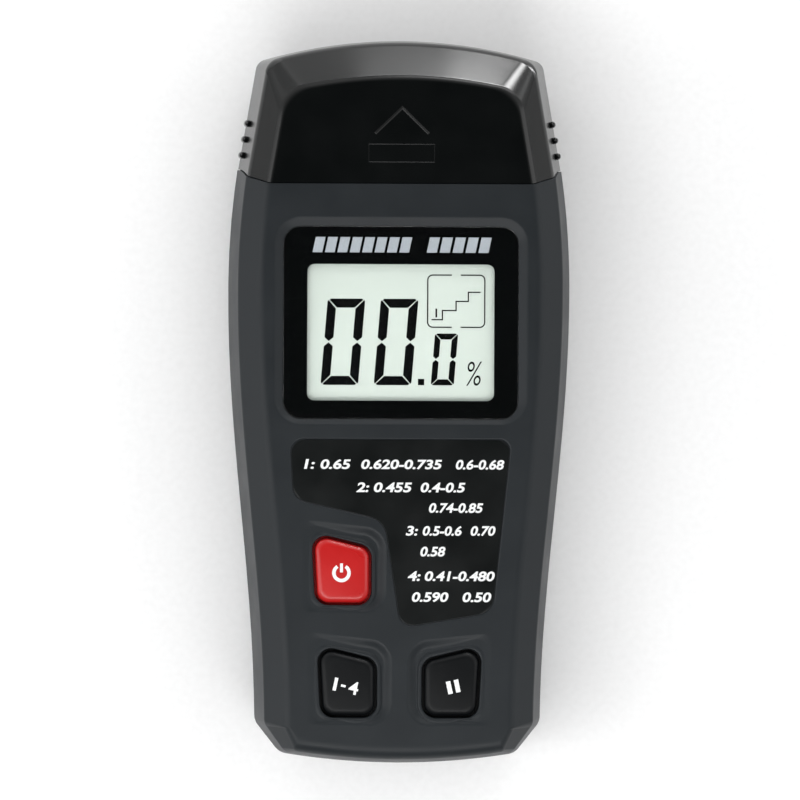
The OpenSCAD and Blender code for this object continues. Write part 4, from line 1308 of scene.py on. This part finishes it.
class METER_OT_cap(bpy.types.Operator):
    """Build the pin cap"""

    bl_idname = "meter.cap"
    bl_label = "Pin cap"

    def execute(self, context):
        finish(build_cap(), "cap", "cap_plastic", MATERIALS["cap"], "pin_cap")
        return {"FINISHED"}


class METER_OT_keys(bpy.types.Operator):
    """Build the three keys and their printed symbols"""

    bl_idname = "meter.keys"
    bl_label = "Keys"

    def execute(self, context):
        symbols = {"power": power_symbol, "mode": group_symbol, "hold": pause_symbol}
        for name, symbol in symbols.items():
            red = name == "power"
            slot = "red_key_plastic" if red else "black_key_plastic"
            body = name + "_button"
            finish(build_key(name), body, slot, MATERIALS["red" if red else "black"], name + "_key")
            finish(printed(symbol(), name + "_symbol", name), body, slot, MATERIALS["white ink"])
        return {"FINISHED"}


class METER_OT_display(bpy.types.Operator):
    """Build the lens, its title line, the display cell's face and the reading"""

    bl_idname = "meter.display"
    bl_label = "Display"

    def execute(self, context):
        marks = context.scene.meter_marks
        finish(build_lens(), "case", "lens_plastic", MATERIALS["acrylic"], "display_lens")
        finish(build_lens_title(), "case", "lens_print", MATERIALS["silver ink"])
        finish(build_reading(marks), "case", "lcd_glass", MATERIALS["display ink"])
        mask = rounded_copy("lens_mask", "lens_black_print", 0)
        finish(mask, "case", "lens_print", MATERIALS["black ink"], "lens_mask")
        cell = rounded_copy("lcd_panel", "display_cell")
        finish(cell, "case", "lcd_glass", MATERIALS["display"], "lcd_panel")
        return {"FINISHED"}


class METER_OT_label(bpy.types.Operator):
    """Build the wood group label and its print"""

    bl_idname = "meter.label"
    bl_label = "Wood group label"

    def execute(self, context):
        finish(build_label_print(), "case", "label_film", MATERIALS["white ink"])
        film = rounded_copy("wood_group_label", "wood_group_film", 0.04)
        finish(film, "case", "label_film", MATERIALS["label"], "wood_group_label")
        return {"FINISHED"}


# Node inside the case: its finish, and how wide its broken edges are in millimetres
INSIDE = {
    "lcd_carrier": ("carrier", 0.12), "contact_strips": ("strip", 0.1), "main_board": ("board", 0.05),
    "controller_chip": ("epoxy", 0), "board_components": ("parts", 0.05), "keypad_mat": ("silicone", 0.05),
    "power_dome": ("silicone", 0), "mode_dome": ("silicone", 0), "hold_dome": ("silicone", 0),
    "pin_block": ("insulator", 0.25), "pin_sockets": ("brass", 0.1), "pin_nuts": ("nickel", 0.15),
    "left_electrode_pin": ("steel", 0.03), "right_electrode_pin": ("steel", 0.03),
    "left_pin_lead": ("red wire", 0), "right_pin_lead": ("black wire", 0), "battery": ("battery", 0),
    "battery_terminals": ("nickel", 0.1), "battery_snap": ("vinyl", 0.2),
    "red_battery_lead": ("red wire", 0), "black_battery_lead": ("black wire", 0),
    "battery_foam": ("foam", 0.1), "case_screws": ("zinc", 0.05),
    "board_screws": ("zinc", 0.05), "power_pill": ("carbon", 0.05), "mode_pill": ("carbon", 0.05),
    "hold_pill": ("carbon", 0.05),
}


def collapse(piece):
    """Gives a silicone dome a mesh of its own, not shared with any other object."""
    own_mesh(piece)


class METER_OT_inside(bpy.types.Operator):
    """Finish the pieces inside the case and under the cap"""

    bl_idname = "meter.inside"
    bl_label = "Inside"

    def execute(self, context):
        record = frame["record"]
        slots = {part["node"]: part["material_slot"] for part in record["subparts"]}
        homes = {n: body for body, members in record["behaviour"]["bodies"].items() for n in members}
        for node, (material, edge) in INSIDE.items():
            piece = rounded_copy(node, node + "_finished", edge)
            finish(piece, homes[node], slots[node], MATERIALS[material], node)
            if node.endswith("_dome"):
                collapse(piece)
        return {"FINISHED"}


class METER_OT_stage(bpy.types.Operator):
    """Set the pale floor, the lamps and the camera"""

    bl_idname = "meter.stage"
    bl_label = "Stage"

    def execute(self, context):
        stage = context.scene.meter_stage
        context.scene.view_settings.view_transform = "Standard"
        make_floor()
        make_lights(stage)
        make_camera(stage)
        return {"FINISHED"}


def make_floor():
    """Pale matt floor that the meter lies on."""
    half = 6000
    sheet = level(rectangle(-half, -half, half, half), 0)
    floor = Shape().add(sheet, [[0, 1, 2, 3]]).mesh("floor", tidy=False)
    material, tree, surface = shader("Pale matt backdrop paper", Roughness=0.9)
    drive(tree, surface, texture(tree, 1.2, Detail=3.0), Base_Color=(linear("#f7f7f7"), linear("#fbfbfb")))
    floor.data.materials.append(material)


def lamp(name, spot, target, size, watts):
    """Soft rectangular lamp that faces a point."""
    light = bpy.data.lights.new(name, "AREA")
    light.shape = "RECTANGLE"
    light.size, light.size_y = size
    light.energy = watts
    holder = place(name, light)
    holder.location = spot
    holder.rotation_euler = (Vector(target) - Vector(spot)).to_track_quat("-Z", "Y").to_euler()
    holder.visible_camera = False


# Lamp or card: its place, the point that it faces, its width and height, in metres, and its watts
LAMPS = {
    "left_softbox": ((-0.85, -0.05, 0.5), (0, 0, 0), (0.5, 0.8), 2.1),
    "right_softbox": ((0.85, 0.1, 0.5), (0, 0, 0), (0.5, 0.8), 1.15),
    "lower_softbox": ((-0.05, -0.2, 0.36), (0, -0.06, 0), (0.5, 0.16), 1.15),
    "pin_softbox": ((0.3, 0.8, 0.45), (0, 0, 0), (0.6, 0.3), 1.7),
    "band_card": ((0.055, 0.365, 0.02), (0, 0.065, 0.02), (0.17, 0.06), 0.16),
    "right_card": ((0.1, 0.35, 0.02), (0.02, 0.06, 0.02), (0.1, 0.06), 0.35),
    "corner_card": ((-0.24, 0.27, 0.05), (-0.024, 0.055, 0.024), (0.12, 0.14), 0.22),
}


def make_lights(stage):
    """Soft lamps and cards that lie low round the meter, and a pale surround. The surround is dark overhead,
    so that the face mirrors nothing, and dimmer towards the foot."""
    for name, (spot, target, size, watts) in LAMPS.items():
        lamp(name, spot, target, size, watts * stage.light)
    world = bpy.data.worlds.new("surround")
    bpy.context.scene.world = world
    world.use_nodes = True
    tree = world.node_tree
    tree.nodes.clear()
    around = add_node(tree, "ShaderNodeTexCoord").outputs["Generated"]
    way = add_node(tree, "ShaderNodeSeparateXYZ", Vector=around).outputs
    sky = add_node(tree, "ShaderNodeBackground")
    drive(tree, sky, way["Z"], (0.68, 0.97), Color=((0.85, 0.85, 0.85), (0.02, 0.022, 0.024)))
    drive(tree, sky, way["Y"], (-0.75, -0.25), Strength=(0.25, 1.0))
    add_node(tree, "ShaderNodeOutputWorld", Surface=sky.outputs[0])


def make_camera(stage):
    """Long lens above the face, a little to the left of straight."""
    data = bpy.data.cameras.new("camera")
    data.lens = stage.lens_mm
    data.sensor_width = 36
    data.clip_end = 20
    camera = place("camera", data)
    reach = stage.distance
    turn = -stage.azimuth
    middle = Vector((0.3, -0.09, PART_Z)) * MM
    camera.location = middle + Vector((math.sin(turn) * reach, 0, math.cos(turn) * reach))
    camera.rotation_euler = (0, turn, stage.roll)
    bpy.context.scene.camera = camera


OPERATORS = (
    METER_OT_stage, METER_OT_front, METER_OT_rear, METER_OT_cap, METER_OT_keys, METER_OT_display,
    METER_OT_label, METER_OT_inside,
)


class METER_PT_panel(bpy.types.Panel):
    """Lists the meter's sizes, colours and build steps"""

    bl_idname = "METER_PT_panel"
    bl_label = "Moisture meter"
    bl_space_type = "VIEW_3D"
    bl_region_type = "UI"
    bl_category = "Meter"

    def draw(self, context):
        for name, group in SETTINGS.items():
            settings = getattr(context.scene, name)
            for key in group.__annotations__:
                self.layout.prop(settings, key)
        for operator in OPERATORS:
            self.layout.operator(operator.bl_idname)


SETTINGS = {
    "meter_case": MeterCase,
    "meter_marks": MeterMarks,
    "meter_colours": MeterColours,
    "meter_stage": MeterStage,
}
MATERIALS = {}


def make_materials(colours):
    """Every finish, by the name that the operators use."""
    dark = linear("#0c0c0d")
    MATERIALS.update(
        {
            "case": case_abs(colours),
            "cap": cap_abs(colours),
            "red": red_key_plastic(colours),
            "black": black_key_plastic(colours),
            "label": label_film(colours),
            "acrylic": clear_acrylic(),
            "display": display_reflector(colours),
            "white ink": screen_ink("White screen-printed ink", linear("#eef0f0")),
            "silver ink": screen_ink("Silver screen-printed ink", linear("#b9bec6"), 0.42, 0.35),
            "black ink": screen_ink("Black screen-printed ink", linear("#050606"), 0.4, gloss=0.0),
            "display ink": screen_ink("Dark liquid crystal segments", linear("#0b0c0c"), 0.6, gloss=0.0),
            "carrier": plastic("White moulded polystyrene", linear("#e4e4de"), 0.4, 0.6, 0.004),
            "strip": plastic("Pink silicone contact strip", linear("#c98a94"), 0.7, 0.3, 0.01),
            "board": solder_mask(),
            "epoxy": plastic("Black epoxy drop", linear("#101011"), 0.15, 2.0, 0.02),
            "parts": plastic("Brown ceramic and plastic parts", linear("#5b4a3a"), 0.5, 0.4, 0.01, 0.3),
            "silicone": plastic("Grey moulded silicone", linear("#3a3b3f"), 0.6, 0.4, 0.006),
            "carbon": plastic("Carbon-filled silicone", dark, 0.7, 0.2, 0.006),
            "insulator": plastic("Black moulded polyamide", linear("#161718"), 0.5, 0.35, 0.008),
            "brass": drawn_metal("Turned brass", linear("#d9b56a"), 0.28),
            "nickel": drawn_metal("Nickel-plated steel", linear("#cfcfcd"), 0.2),
            "steel": drawn_metal("Ground stainless steel", linear("#d2d3d6"), 0.25),
            "zinc": drawn_metal("Zinc-plated steel", linear("#a9acb2"), 0.38),
            "red wire": plastic("Red extruded wire insulation", linear("#b51f1b"), 0.4, 0.5, 0.004),
            "black wire": plastic("Black extruded wire insulation", dark, 0.4, 0.5, 0.004),
            "battery": battery_jacket(),
            "vinyl": plastic("Black soft vinyl", dark, 0.55, 0.4, 0.01),
            "foam": open_foam(),
        }
    )


def register():
    for cls in (*SETTINGS.values(), *OPERATORS, METER_PT_panel):
        bpy.utils.register_class(cls)
    for name, group in SETTINGS.items():
        setattr(bpy.types.Scene, name, bpy.props.PointerProperty(type=group))


def unregister():
    for name in SETTINGS:
        delattr(bpy.types.Scene, name)
    for cls in reversed((*SETTINGS.values(), *OPERATORS, METER_PT_panel)):
        bpy.utils.unregister_class(cls)


def main():
    register()
    make_materials(bpy.context.scene.meter_colours)
    for operator in OPERATORS:
        group, name = operator.bl_idname.split(".")
        getattr(getattr(bpy.ops, group), name)()


if __name__ == "__main__":
    main()
